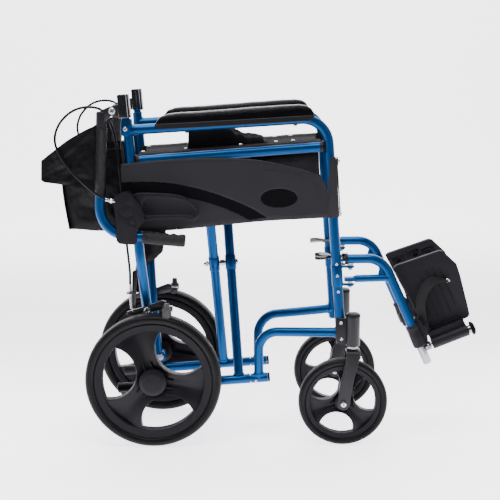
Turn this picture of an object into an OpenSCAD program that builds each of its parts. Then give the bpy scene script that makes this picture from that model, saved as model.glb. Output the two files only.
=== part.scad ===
// Folding attendant-propelled wheelchair, standing in its folded state.
// X points forward, Y to the chair's left, Z up; Z = 0 is the floor and Y = 0 the centre plane.
// Paired pieces are drawn on the right side, at negative Y, and mirrored to the left.

/* [Frame] */
// Distance of each upright from the centre plane while folded
post_y = 112; // [108:1:120]
// Distance of each lower rail from the centre plane while folded
low_y = 68; // [66:1:72]
// Radius of the frame tubes
tube_r = 11; // [10.5:0.25:11]
// Backward lean of the uprights and rise of the rails, in degrees
lean = 3.9; // [3.7:0.1:4.1]
// Distance between lower rail and seat rail while folded
rail_gap = 521.9; // [518:0.1:526]

/* [Wheels] */
// Radius of the rear tyres
rear_r = 152.5; // [150:0.5:152.5]
// Distance of the rear wheels from the centre plane while folded
rear_y = 125; // [124:1:127]
// Radius of the front caster tyres
caster_r = 100; // [97:0.5:100]
// Distance of the caster stems from the centre plane while folded
caster_y = 124; // [123:1:125]
// Forward position of the caster stems ahead of the rear axle
stem_x = 445.5; // [444:0.5:447]
// Trail of the caster axle behind its stem
trail = 21.5; // [18:0.5:24]

/* [Push handles] */
// Distance of each back cane from the centre plane while folded
cane_y = 140; // [139.5:0.5:141]
// Bend radius between cane and handle
cane_bend = 60; // [54:1:62]
// Radius of the hand grips
grip_r = 14; // [13:0.5:14.5]

/* [Soft parts] */
// Thickness of the seat and back cloth
cloth = 1.8; // [1.2:0.1:2.2]

/* [Hidden] */
$fn = 48;

// forward distance from the rear axle to the middle of the bounding box, where X = 0
mid_x = 245.97;
// gap between pieces that touch, and radial play of pins
gap = 0.15;
play = 0.08;
// start of the tilted frame on the lower rail, forward and up
start_x = 175;
start_z = 133.9;
rail_dir = [cos(lean), 0, sin(lean)];
post_dir = [-sin(lean), 0, cos(lean)];
side_dir = [0, 1, 0];
// places of the rear and the front upright along the rails
rear_along = -178.6;
front_along = 251.7;
// outer face of the uprights
outer_y = post_y + tube_r;

blue = [0.02, 0.36, 0.62];
black = [0.13, 0.13, 0.14];
silver = [0.75, 0.76, 0.78];
tyre_color = [0.09, 0.09, 0.09];
cloth_color = [0.11, 0.11, 0.12];
cable_color = [0.06, 0.06, 0.06];

// ---------- helpers; x is measured forward from the rear axle ----------
function at(x, y, z) = [x - mid_x, y, z];
// a point given along the rails, lateral, and square to the rails
function on_rail(along, y, above) =
    at(start_x, y, start_z) + along * rail_dir + above * post_dir;
function unit(vector) = vector / norm(vector);
// height of the armrest tube
function arm_z(x) = 711.6 + 0.0575 * x;
// closed oval outline
function oval(x, z, half_x, half_z) =
    [for (angle = [0:10:350]) [x + half_x * cos(angle), z + half_z * sin(angle)]];

// maps local x, y, z to three directions at a point
module place(origin, x_dir, y_dir, z_dir) {
    multmatrix([
        [x_dir[0], y_dir[0], z_dir[0], origin[0]],
        [x_dir[1], y_dir[1], z_dir[1], origin[1]],
        [x_dir[2], y_dir[2], z_dir[2], origin[2]],
        [0, 0, 0, 1]]) children();
}
// the same, tilted with the rails
module set_on_rail(along, y, above) {
    place(on_rail(along, y, above), rail_dir, side_dir, post_dir) children();
}

// straight round bar between two points
module rod(start, end, radius) {
    span = end - start;
    translate(start)
        rotate([0, acos(span[2] / norm(span)), atan2(span[1], span[0])])
            cylinder(h = norm(span), r = radius);
}
// round bar parallel to the rails
module rail_rod(from, to, y, above, radius) {
    rod(on_rail(from, y, above), on_rail(to, y, above), radius);
}

// bent round bar through points; its bends are slightly thicker than its straights
module pipe(points, bend_r, radius) {
    swell = 0.3;
    overlap = 0.8;
    last = len(points) - 1;
    dirs = [for (i = [0:last - 1]) unit(points[i + 1] - points[i])];
    // length that each bend takes off the straights beside it
    cuts = [for (i = [0:last]) (i == 0 || i == last) ? 0 :
        bend_r * tan(acos(max(-1, min(1, dirs[i - 1] * dirs[i]))) / 2)];
    union() {
        for (i = [0:last - 1])
            rod(points[i] + dirs[i] * max(0, cuts[i] - overlap),
                points[i + 1] - dirs[i] * max(0, cuts[i + 1] - overlap), radius);
        // a point without a turn needs no bend
        for (i = [1:last - 1]) if (cuts[i] > 0.001) {
            before = dirs[i - 1];
            axis = unit(cross(before, dirs[i]));
            // direction from the bend's centre to where the bend starts
            radial = unit(cross(before, axis));
            centre = points[i] - before * cuts[i] - radial * bend_r;
            place(centre, radial, cross(axis, radial), axis)
                rotate_extrude(angle = acos(before * dirs[i]))
                    translate([bend_r, 0]) circle(r = radius + swell);
        }
    }
}

// plate with an outline in forward and up, between two lateral positions
module slab(outline, from_y, to_y) {
    translate([0, max(from_y, to_y), 0]) rotate([90, 0, 0])
        linear_extrude(height = abs(to_y - from_y))
            polygon([for (point = outline) [point[0] - mid_x, point[1]]]);
}
// round bar along Y
module bar_y(x, z, from_y, to_y, radius) {
    translate(at(x, max(from_y, to_y), z)) rotate([90, 0, 0])
        cylinder(h = abs(to_y - from_y), r = radius);
}
// round bar along Z
module bar_z(x, y, from_z, to_z, radius) {
    translate(at(x, y, from_z)) cylinder(h = to_z - from_z, r = radius);
}
module box(from_x, to_x, from_y, to_y, from_z, to_z) {
    translate(at(from_x, from_y, from_z))
        cube([to_x - from_x, to_y - from_y, to_z - from_z]);
}
// screw with a domed head on an outer face, looking towards -Y
module screw(x, z, y, radius, depth) {
    bar_y(x, z, y, y + depth, radius * 0.55);
    intersection() {
        translate(at(x, y + radius * 0.5, z)) sphere(r = radius * 1.15);
        bar_y(x, z, y - 4, y, radius);
    }
}

// ---------- side frame ----------
rear_tube = [
    on_rail(rear_along, -post_y, 611.7), on_rail(rear_along, -post_y, 310),
    on_rail(rear_along, -low_y, 180), on_rail(rear_along, -low_y, 0)];
front_tube = [at(-43, -post_y, 709.1), at(386.4, -post_y, 733.9), at(420.6, -post_y, 233)];
stay_tube = [at(236, -low_y, 138.5), at(236, -75, 249), at(416, -post_y, 256)];
// ends of the lower rail, and the thin part that the brace sleeve turns on
low_rear = -222;
low_front = 82;
spigot_r = 7;
// footrest lugs: underside heights, and place and radius of their holes
lug_zs = [404, 364];
lug_x = 439;
lug_hole_r = 4;

module side_tubes(extra = 0) {
    pipe(rear_tube, 70, tube_r + extra);
    pipe(front_tube, 55, tube_r + extra);
    pipe(stay_tube, 45, tube_r - 0.5 + extra);
}
module side_frame() {
    color(blue) difference() {
        union() {
            side_tubes();
            rail_rod(low_rear, -47, -low_y, 0, tube_r);
            rail_rod(-48, 44, -low_y, 0, spigot_r);
            rail_rod(43, low_front, -low_y, 0, tube_r);
            // axle boss
            bar_y(0, rear_r, -60, -92, 13);
            // lugs that carry the footrest hanger
            for (z = lug_zs) box(408, 450, -post_y - 8, -post_y + 8, z, z + 4);
        }
        for (z = lug_zs) bar_z(lug_x, -post_y, z - 9, z + 11, lug_hole_r);
    }
}

// ---------- caster mount ----------
stem_r = 8;
caster_head_r = 15.5;
mount_outer_y = 125;

module caster_mount() {
    color(black) difference() {
        union() {
            slab([[409, 232], [436, 232], [436, 291], [407, 291]], -99.5, -mount_outer_y);
            bar_z(stem_x, -caster_y, 228.6, 300, caster_head_r);
            // cap
            bar_z(stem_x, -caster_y, 298, 304, 16.3);
        }
        side_tubes(0.1);
        bar_z(stem_x, -caster_y, 220, 288, stem_r + play);
    }
}

// ---------- skirt guard and armrest ----------
// outline of the guard: forward, up
guard_edge = [
    [-57, 638], [5, 643.5], [69, 648], [123, 649.8], [180, 649.2], [230, 645.5],
    [262, 640], [295, 632], [330, 624], [359, 616.5], [384, 608.5], [391, 609],
    [392.5, 645], [396, 650], [403, 650], [406.5, 640], [407.5, 625], [409, 578],
    [412.5, 524], [411, 517.5], [382, 516.5], [320, 514], [266, 511.5], [220, 508],
    [177, 504], [110, 497], [44, 491.5], [-32, 489], [-56, 489], [-60, 494]];
// curved band recessed in its outer face: forward, up
guard_band = [
    [-54, 598], [20, 599], [62, 594], [102, 585], [140, 574], [178, 560],
    [210, 546], [239, 531], [262, 515], [228, 511], [211, 521], [180, 534],
    [156, 544], [120, 555], [87, 563], [46, 570], [-50, 573]];
// screws through the guard: forward, up
guard_screws = [[404.5, 643], [406.5, 530]];

module skirt_guard() {
    color(black) difference() {
        slab(guard_edge, -outer_y - gap, -outer_y - 3.2);
        slab(guard_band, -outer_y - 2.2, -outer_y - 5);
        slab(oval(282, 561, 40, 21), -outer_y - 1.8, -outer_y - 5);
        for (hole = guard_screws) bar_y(hole[0], hole[1], -110, -130, 2.6);
    }
}

// side view of the pad: forward, up
pad_side = [
    [15, 722], [14, 728], [18, 735], [27, 740], [60, 744], [113, 747.5], [200, 753],
    [280, 758.5], [330, 762], [345, 762], [354, 758], [359, 750], [359, 739],
    [354, 732], [180, 722], [22, 714.5]];
// cross-section of the pad: lateral, up
pad_half_w = 26;
pad_section = [
    [-pad_half_w, 0], [-pad_half_w, 16], [-23, 22.5], [-17, 27.5], [-8, 30],
    [8, 30], [17, 27.5], [23, 22.5], [pad_half_w, 16], [pad_half_w, 0]];
// directions along and square to the pad
pad_dir = [0.99877, 0, 0.0495];
pad_up = [-0.0495, 0, 0.99877];

module armrest_pad() {
    slot = tube_r + 0.6;
    color(black) difference() {
        intersection() {
            slab(pad_side, -post_y - pad_half_w, -post_y + pad_half_w);
            place(at(0, -post_y, 711.5), side_dir, pad_up, pad_dir)
                linear_extrude(height = 380) polygon(pad_section);
        }
        // slot for the armrest tube, open below
        rod(at(-20, -post_y, arm_z(-20)), at(380, -post_y, arm_z(380)), slot);
        box(-20, 380, -post_y - slot, -post_y + slot, 690, arm_z(0));
        slab([[10, 700], [10, arm_z(10)], [370, arm_z(370)], [370, 700]],
            -post_y - slot, -post_y + slot);
    }
}

// ---------- brackets on the rear upright ----------
// pivot of the back cane: forward, up
cane_pivot = [-71, 753];
pin_r = 4;
bracket_half_w = 13.6;
plate_t = 2;
// end of the brake cable: forward, lateral
cable_end = [-50, -96];

module cane_pivot_hole() {
    bar_y(cane_pivot[0], cane_pivot[1], -160, -120, pin_r + play);
}
module post_brackets() {
    outer = -cane_y - bracket_half_w;
    inner = -cane_y + bracket_half_w - plate_t;
    spacer_y = -cane_y + 13.5;
    color(black) {
        // U-shaped bracket of the back cane
        difference() {
            translate(at(cane_pivot[0], 0, cane_pivot[1])) rotate([0, -lean, 0]) {
                for (y = [outer, inner]) {
                    translate([11, y, -14]) cube([26.6, plate_t, 49]);
                    translate([-8, y, -9]) cube([24, plate_t, 18]);
                    translate([-8, y + plate_t, 0]) rotate([90, 0, 0])
                        cylinder(h = plate_t, r = 9);
                }
                translate([35.6, outer, -14]) cube([plate_t, 2 * bracket_half_w, 49]);
                translate([17, inner, -60]) cube([20, plate_t, 48]);
                // spacer against the upright
                translate([17, spacer_y, -56]) cube([20, -outer_y - gap - spacer_y, 34]);
            }
            cane_pivot_hole();
        }
        // plate behind the upright that stops the brake cable
        difference() {
            union() {
                box(-46, -38, -103, -89, 312, 398);
                box(-58, -38, -106, -86, 345, 349);
                box(-40, -24, -102, -92, 380, 396);
            }
            side_tubes(0.1);
            bar_y(-50, 300, -110, -80, 0.5);
            bar_z(cable_end[0], cable_end[1], 340, 352, 3);
        }
    }
}

// ---------- frame hardware ----------
axle_r = 6;
axle_head_r = 10;
// inner face of the axle head
axle_head_y = 146;
// pivot of the brake arm: forward, up
arm_pivot = [-14, 305];

module frame_hardware() {
    color(silver) {
        // axle, its outer head and its inner nut
        bar_y(0, rear_r, -92.5, -axle_head_y, axle_r);
        bar_y(0, rear_r, -axle_head_y, -axle_head_y - 5, axle_head_r);
        bar_y(0, rear_r, -59.8, -54, 9);
        // pivot pin of the back cane
        bar_y(cane_pivot[0], cane_pivot[1], -158, -124, pin_r);
        bar_y(cane_pivot[0], cane_pivot[1], -153.8, -158, 7);
        // screws in the upright, the caster mount and the guard
        screw(-47, 713, -128.5, 4.5, 10);
        for (spot = [[419, 281], [420.5, 243.5]])
            screw(spot[0], spot[1], -mount_outer_y - 0.1, 4, 5);
        for (spot = guard_screws) screw(spot[0], spot[1], -outer_y - 3.4, 3.6, 12);
        // screws in the front upright by the hanger
        for (z = [413, 387, 351]) screw(404 - (z - 476) * 0.0682, z, -outer_y - 0.1, 3.5, 5);
        // pivot bolt of the brake arm
        bar_y(arm_pivot[0], arm_pivot[1], -80.4, -98, pin_r);
        bar_y(arm_pivot[0], arm_pivot[1], -95.4, -99, 7);
    }
    color(black) {
        // end cap of the lower rail
        rail_rod(low_front + 0.1, 87, -low_y, 0, 10.6);
        // socket sleeve at the rear end of the lower rail, for a tipping lever
        difference() {
            rail_rod(-262, low_rear - 0.1, -low_y, 0, tube_r);
            rail_rod(-263, low_rear - 0.1, -low_y, 0, 9);
        }
    }
}

// ---------- wheels ----------
rear_tyre_h = 20;
caster_tyre_h = 15;
caster_axle_r = 4;
axle_x = stem_x - trail;
// half tyre profile: depth below the tread / tyre height, half width / tyre width
tyre_half = [[1, 0.36], [0.72, 0.45], [0.42, 0.5], [0.2, 0.44], [0.06, 0.28], [0, 0.1]];

module tyre(x, y, radius, width, height) {
    translate(at(x, y, radius)) rotate([90, 0, 0]) rotate_extrude($fn = 96)
        polygon(concat(
            [for (p = tyre_half) [radius - height * p[0], -width * p[1]]],
            [for (i = [len(tyre_half) - 1:-1:0])
                [radius - height * tyre_half[i][0], width * tyre_half[i][1]]]));
}
// moulded wheel: ring, three broad spokes between rounded openings, hub;
// bore_extra lengthens the bore past the hub's length, or shortens it if negative
module moulded_wheel(x, y, axle_z, radius, ring_r, ring_w, spoke_w, hub_r, hub_in, hub_out,
        bore_r, turn, bore_extra) {
    translate(at(x, y, axle_z)) rotate([90, turn, 0]) difference() {
        union() {
            difference() {
                translate([0, 0, -ring_w / 2])
                    cylinder(h = ring_w, r = radius - gap, $fn = 96);
                translate([0, 0, -ring_w]) cylinder(h = 2 * ring_w, r = ring_r, $fn = 96);
            }
            difference() {
                translate([0, 0, -spoke_w / 2])
                    cylinder(h = spoke_w, r = ring_r + 1, $fn = 96);
                for (angle = [48, 168, 288]) rotate([0, 0, angle]) intersection() {
                    translate([0, 0, -spoke_w])
                        cylinder(h = 2 * spoke_w, r = ring_r - 2, $fn = 96);
                    translate([ring_r * 0.87, 0, -spoke_w])
                        cylinder(h = 2 * spoke_w, r = ring_r * 0.53);
                }
            }
            translate([0, 0, -hub_in]) cylinder(h = hub_in + hub_out, r = hub_r);
        }
        translate([0, 0, -hub_in - 1])
            cylinder(h = hub_in + hub_out + bore_extra, r = bore_r);
    }
}
module rear_tyre() {
    color(tyre_color) tyre(0, -rear_y, rear_r, 40, rear_tyre_h);
}
module rear_rim() {
    color(black) difference() {
        moulded_wheel(0, -rear_y, rear_r, radius = rear_r - rear_tyre_h, ring_r = 114,
            ring_w = 30, spoke_w = 16, hub_r = 29, hub_in = 30, hub_out = 29,
            bore_r = axle_r + play, turn = 0, bore_extra = -3);
        // recess for the axle head
        bar_y(0, rear_r, -axle_head_y + 0.2, -axle_head_y - 5.4, axle_head_r + 0.4);
    }
}
module caster_tyre() {
    color(tyre_color) tyre(axle_x, -caster_y, caster_r, 30, caster_tyre_h);
}
module caster_rim() {
    color(black)
        moulded_wheel(axle_x, -caster_y, caster_r, radius = caster_r - caster_tyre_h,
            ring_r = 73, ring_w = 24, spoke_w = 12, hub_r = 19, hub_in = 15.5,
            hub_out = 15.5, bore_r = caster_axle_r + play, turn = 20, bore_extra = 4);
}
module caster_fork() {
    half_w = 22;
    color(black) {
        // stem and the collar under its mount
        bar_z(stem_x, -caster_y, 227, 286, stem_r);
        bar_z(stem_x, -caster_y, 208, 228.3, caster_head_r);
        // crown
        slab([[stem_x - 16, 206], [stem_x + 16, 206], [stem_x + 16, 219],
            [stem_x + 12, 223], [stem_x - 12, 223], [stem_x - 16, 219]],
            -caster_y - half_w, -caster_y + half_w);
        bar_y(axle_x, caster_r, -caster_y - 21, -caster_y + 21, caster_axle_r);
        for (side = [-1, 1]) {
            // fork leg and axle end
            slab([[stem_x - 16, 220], [stem_x + 15, 220],
                [axle_x + 14, caster_r], [axle_x + 9, caster_r - 11],
                [axle_x - 9, caster_r - 11], [axle_x - 14, caster_r]],
                -caster_y + side * 17.2, -caster_y + side * half_w);
            bar_y(axle_x, caster_r,
                -caster_y + side * half_w, -caster_y + side * (half_w + 3), 7);
        }
    }
}

// ---------- wheel brake ----------
// outlines: forward, up
brake_arm_edge = [
    [-60, 293], [-52, 290], [-14, 298], [26, 305], [30, 325], [20, 327],
    [-12, 314], [-52, 304], [-60, 301]];
brake_shoe_edge = [[23, 296], [45, 292], [44, 326], [38, 331], [28, 331], [23, 326]];

module brake_arm() {
    color(black) difference() {
        union() {
            slab(brake_arm_edge, -85, -90);
            slab(brake_shoe_edge, -88, -142);
        }
        // room for the tyre
        bar_y(0, rear_r, -100, -150, rear_r + 2.2);
        bar_y(0, rear_r, -86, -103, rear_r - 1);
        bar_y(arm_pivot[0], arm_pivot[1], -80, -100, pin_r + play);
    }
}

// ---------- back canes and handles ----------
cane = [at(-94.8, -cane_y, 750), at(-108, -cane_y, 489), at(74, -cane_y, 471.4)];
grip_start = at(-17, -cane_y, 480.2);
// pivot of the brake lever: forward, up
lever_pivot = [-35, 510];
lever_pin_r = 4;
// outlines: forward, up
cane_lug_edge = [
    [-104, 735], [-104, 748], [-76, 761], [-71, 761.5], [-66, 760], [-63, 755],
    [-63, 750], [-66, 746], [-88, 727]];
housing_edge = [
    [-44, 580], [-58, 577], [-77, 567], [-73, 540], [-68, 510], [-71, 477],
    [-64, 468], [-29, 465.5], [-25, 485], [-26, 499], [-8, 516], [-9, 532],
    [-16, 549], [-34, 573], [-30, 580]];
lever_edge = [
    [-44.5, 506], [-41, 502], [-35, 500.6], [-27, 503], [-6, 517], [40, 519.5],
    [78, 521.5], [85, 516.5], [92, 515.5], [102, 518], [107, 522], [110.5, 529],
    [110, 537], [107, 544], [102, 549.5], [88, 562], [78, 568], [68, 572],
    [40, 575], [-27, 577.5], [-34, 573], [-41, 545], [-45, 520]];
lever_opening = [
    [-8, 526], [40, 528], [82, 527], [93, 524.5], [101, 530], [102, 537], [97, 546],
    [89, 554], [72, 560.5], [34, 564], [-4, 561], [-12, 555], [-14, 540]];

module back_cane() {
    color(blue) difference() {
        union() {
            pipe(cane, cane_bend, tube_r);
            slab(cane_lug_edge, -cane_y - 8, -cane_y + 8);
        }
        cane_pivot_hole();
    }
}
module grip() {
    handle_dir = unit(cane[2] - cane[1]);
    color(black) difference() {
        union() {
            rod(grip_start, grip_start + handle_dir * 96, grip_r);
            rod(grip_start, grip_start + handle_dir * 5, grip_r + 1.5);
        }
        rod(grip_start - handle_dir * 5, grip_start + handle_dir * 91.6, tube_r + gap);
    }
}
module brake_housing() {
    color(black) difference() {
        union() {
            slab(housing_edge, -cane_y - 12.6, -cane_y + 12.6);
            // cable entry
            rod(at(-64, -146, 557.6), at(-90, -154.4, 564.6), 4.2);
        }
        pipe(cane, cane_bend, tube_r + gap);
        // slot for the lever, crossed by its pivot pin
        difference() {
            slab([[-56, 499.5], [20, 499.5], [20, 600], [-56, 600]],
                -cane_y - 4.2, -cane_y + 4.2);
            bar_y(lever_pivot[0], lever_pivot[1], -cane_y - 5, -cane_y + 5, lever_pin_r);
        }
        slab(oval(-46, 539, 15, 12), -cane_y - 11.4, -cane_y - 14);
    }
}
module brake_lever() {
    color(black) difference() {
        slab(lever_edge, -cane_y - 3.6, -cane_y + 3.6);
        slab(lever_opening, -cane_y - 5, -cane_y + 5);
        bar_y(lever_pivot[0], lever_pivot[1],
            -cane_y - 5, -cane_y + 5, lever_pin_r + play);
    }
}

cable_path = [
    at(-91.3, -154.7, 565.2), at(-178, -155, 626), at(-199, -154.5, 700),
    at(-158, -150, 765), at(-90, -122, 764), at(-64, -118.5, 640), at(-56, -116, 460),
    at(cable_end[0], cable_end[1], 400), at(cable_end[0], cable_end[1], 352)];
module brake_cable() {
    color(cable_color) {
        pipe(cable_path, 26, 2.4);
        // end sleeve
        bar_z(cable_end[0], cable_end[1], 349.2, 372, 4);
    }
}

// ---------- fold: braces and seat rails ----------
cross_above = rail_gap / 2;
brace_pin_r = 4;

// tube from the lower right sleeve to the upper left sleeve
module brace_tube(along) {
    low = on_rail(along, -low_y, 0);
    high = on_rail(along, low_y, rail_gap);
    middle = on_rail(along, 0, cross_above);
    collar = 17 * unit(high - low);
    // lateral position and height of the two sleeves
    sleeves = [[-low_y, 0], [low_y, rail_gap]];
    difference() {
        union() {
            rod(low, high, tube_r);
            rod(middle - collar, middle + collar, tube_r + 1.6);
            for (s = sleeves) rail_rod(-45.8, 41.8, s[0], s[1], tube_r);
        }
        for (s = sleeves) rail_rod(-50, 50, s[0], s[1], spigot_r + play);
        rail_rod(along - 30, along + 30, 0, cross_above, brace_pin_r + play);
    }
}
module brace_right() {
    color(blue) brace_tube(16);
}
module brace_left() {
    color(blue) mirror([0, 1, 0]) brace_tube(-22);
}
module brace_bolt() {
    color(silver) {
        rail_rod(-46, 33, 0, cross_above, brace_pin_r);
        // head, nut, and spacer between the braces
        rail_rod(-40, -36, 0, cross_above, 7);
        rail_rod(29.2, 33, 0, cross_above, 7);
        rail_rod(-8, 2, 0, cross_above, 6);
    }
}

// ends of the seat rail
seat_rear = rear_along + 13;
seat_front = front_along - 13;
module seat_rail() {
    color(blue) {
        rail_rod(seat_rear, seat_front, -post_y, rail_gap, tube_r);
        // two arms that carry the spigot of the brace sleeve
        for (along = [-50.5, 44.5]) {
            set_on_rail(along, -post_y, rail_gap - 6) cube([4, post_y - low_y, 12]);
            rail_rod(along - 0.3, along + 4.3, -low_y, rail_gap, 9);
        }
        rail_rod(-50, 47, -low_y, rail_gap, spigot_r);
    }
}
// half shells around the uprights, at the ends of the seat rail
module rail_guides() {
    // place along the rail, and start of the cut-away side
    color(black) for (guide = [[rear_along, -30], [front_along, 2]]) difference() {
        set_on_rail(guide[0], -post_y, rail_gap - 12) difference() {
            cylinder(h = 24, r = 14.6);
            translate([guide[1], -30, -1]) cube([28, 60, 30]);
            translate([0, 0, -1]) cylinder(h = 26, r = tube_r + 0.6);
        }
        rail_rod(seat_rear - gap, seat_front + gap, -post_y, rail_gap, tube_r + gap);
        // flat outer face, clear of the guard
        box(-250, 450, -150, -outer_y + 0.05, 500, 760);
    }
}

// ---------- seat and back cloth ----------
seat_start = -160;
seat_length = 392;
seat_above = rail_gap + tube_r + 0.4;
edge_over = 5;
// fold line of the seat, slope length of its hanging half, and angle of the drop
hinge_y = 56;
sling = 177.35;
drop = acos(hinge_y / sling);

module seat_edge() {
    color(cloth_color) set_on_rail(seat_start, -post_y - edge_over, seat_above)
        cube([seat_length, post_y + edge_over - hinge_y - 0.6, cloth]);
}
module seat_panel() {
    color(cloth_color) set_on_rail(seat_start, -hinge_y, seat_above)
        rotate([-drop, 0, 0]) cube([seat_length, sling - 6.5, cloth]);
}

// back cloth: two sides and a middle on each level, folded to the rear
back_along = rear_along - 12.8;
back_above = 360;
back_h = 195;
back_w = 150.9;
back_angle = 78.7;
module back_panel() {
    color(cloth_color) set_on_rail(back_along, -post_y, back_above)
        rotate([0, 0, back_angle])
            translate([-cloth, 0.5, 0]) cube([cloth, back_w - 1, back_h]);
}
module back_middle() {
    half_w = post_y - back_w * cos(back_angle);
    color(cloth_color)
        set_on_rail(back_along - back_w * sin(back_angle), -half_w, back_above)
            translate([-cloth, 0.5, 0]) cube([cloth, 2 * half_w - 1, back_h]);
}

// direction down the folded cane, and square to it to the rear
cane_dir = unit(cane[1] - cane[0]);
cane_rear = [cane_dir[2], 0, -cane_dir[0]];
upper_start = cane[0] + cane_dir * 28 + cane_rear * 12.9;
upper_w = 113.3;
upper_angle = 94.1;
// start and end of the middle, down the cane
upper_top = 70;
upper_bottom = 138;
module upper_back_panel() {
    color(cloth_color) place(upper_start, -cane_rear, side_dir, cane_dir)
        rotate([0, 0, upper_angle]) translate([-cloth, 0.5, 0]) rotate([90, 0, 90])
            linear_extrude(height = cloth) polygon([
                [0, 0], [upper_w - 1, upper_top], [upper_w - 1, upper_bottom], [0, 148]]);
}
module upper_back_middle() {
    half_w = cane_y - upper_w * cos(upper_angle);
    rear = upper_start + cane_rear * upper_w * sin(upper_angle);
    color(cloth_color) place([rear[0], -half_w, rear[2]], -cane_rear, side_dir, cane_dir)
        translate([-cloth, 0.5, upper_top])
            cube([cloth, 2 * half_w - 1, upper_bottom - upper_top]);
}

// ---------- footrest ----------
leg_r = 10.5;
leg = [at(432, -post_y, 423), at(510, -post_y, 423.6), at(582, -post_y, 260)];
leg_dir = unit(leg[2] - leg[1]);
hanger_pin_r = lug_hole_r - play;
// hinge of the folded footplate: its start, and its direction
foot_x = 619;
foot_y = 99;
foot_z = 222;
foot_dir = unit([0.929, 0, 0.370]);
foot_rod_r = 5;
// plate outlines: along the hinge, square to it
foot_edge = [
    [7, 0], [94, 0], [106, 16], [112, 30], [121, 90], [124, 145],
    [106, 184], [98, 188], [-4, 192], [-11, 188], [8, 45]];
foot_block = [[8, -10], [93, -10], [93, 22], [8, 22]];
foot_recess = [[18, 40], [106, 40], [112, 90], [114, 140], [100, 176], [2, 180]];

module hanger() {
    color(blue) {
        pipe(leg, 50, leg_r);
        // pins that hang in the lugs, and the spacer between them
        bar_z(lug_x, -post_y, 399, 415, hanger_pin_r);
        bar_z(lug_x, -post_y, 368.2, 388, 9.6);
        bar_z(lug_x, -post_y, 359, 372, hanger_pin_r);
        // lower strut
        rod(at(440, -post_y, 378), at(526, -post_y, 380), 8.2);
    }
}
module leg_rod(from, to, radius) {
    rod(leg[2] + leg_dir * from, leg[2] + leg_dir * to, radius);
}
module hinge_rod(from, to, radius, y = foot_y) {
    start = at(foot_x, -y, foot_z);
    rod(start + foot_dir * from, start + foot_dir * to, radius);
}
module foot_slab(outline, from, to) {
    slab([for (p = outline) [
        foot_x + foot_dir[0] * p[0] - foot_dir[2] * p[1],
        foot_z + foot_dir[2] * p[0] + foot_dir[0] * p[1]]], from - foot_y, to - foot_y);
}
module footrest_extension() {
    color(black) difference() {
        leg_rod(-12, 34, 14);
        leg_rod(-14, 0.1, leg_r + gap);
    }
    color(silver) {
        leg_rod(34.1, 82, 9.5);
        hinge_rod(-4, 100, foot_rod_r);
        hinge_rod(-10, 6, 9, y = post_y);
        hinge_rod(96, 108, 9);
    }
}
module footplate() {
    color(black) difference() {
        union() {
            hinge_rod(7, 94, 12);
            foot_slab(foot_edge, 20, 34);
            foot_slab(foot_block, 0, 26);
        }
        hinge_rod(-10, 120, foot_rod_r + play);
        foot_slab(foot_recess, 24, 40);
    }
}
module release_lever() {
    // outline of the thumb tab: forward, lateral
    tab = [[362, -108], [360, -96], [366, -90], [394, -88], [396, -98], [390, -106]];
    eye = [428, -94.5];
    color(black) {
        translate([-mid_x, 0, 423]) linear_extrude(height = 8) polygon(tab);
        box(392, eye[0], -99, -90, 424, 428);
        difference() {
            bar_z(eye[0], eye[1], 419, 433, 7);
            bar_z(eye[0], eye[1], 418, 434, 3 + play);
        }
    }
}

// ---------- pieces ----------
module both_sides(piece) {
    children();
    mirror([0, 1, 0]) children();
}
both_sides("side_frame") side_frame();
both_sides("armrest_pad") armrest_pad();
both_sides("skirt_guard") skirt_guard();
both_sides("caster_mount") caster_mount();
both_sides("post_brackets") post_brackets();
both_sides("frame_hardware") frame_hardware();
both_sides("rear_tyre") rear_tyre();
both_sides("rear_rim") rear_rim();
both_sides("caster_fork") caster_fork();
both_sides("caster_tyre") caster_tyre();
both_sides("caster_rim") caster_rim();
both_sides("brake_arm") brake_arm();
both_sides("back_cane") back_cane();
both_sides("grip") grip();
both_sides("brake_housing") brake_housing();
both_sides("brake_lever") brake_lever();
both_sides("brake_cable") brake_cable();
both_sides("seat_rail") seat_rail();
both_sides("rail_guides") rail_guides();
both_sides("seat_edge") seat_edge();
both_sides("seat_panel") seat_panel();
both_sides("back_panel") back_panel();
both_sides("upper_back_panel") upper_back_panel();
both_sides("hanger") hanger();
both_sides("footplate") footplate();
both_sides("footrest_extension") footrest_extension();
both_sides("release_lever") release_lever();
brace_right();
brace_left();
brace_bolt();
back_middle();
upper_back_middle();
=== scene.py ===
# A folding wheelchair whose back canes are turned down, so that their grips point forward.
# Lengths are millimetres until a mesh is made. +X is the chair's front, -Y its right and
# +Z up; x = 0 is the rear axle and z = 0 the floor. Every paired piece is drawn on the
# right and mirrored to the left.
import bpy
import bmesh
from collections import namedtuple
from math import (acos, atan2, copysign, cos, degrees, dist, exp, hypot, pi, radians,
                  remainder, sin, sqrt, tan)
from mathutils import Matrix, Vector, noise


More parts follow.
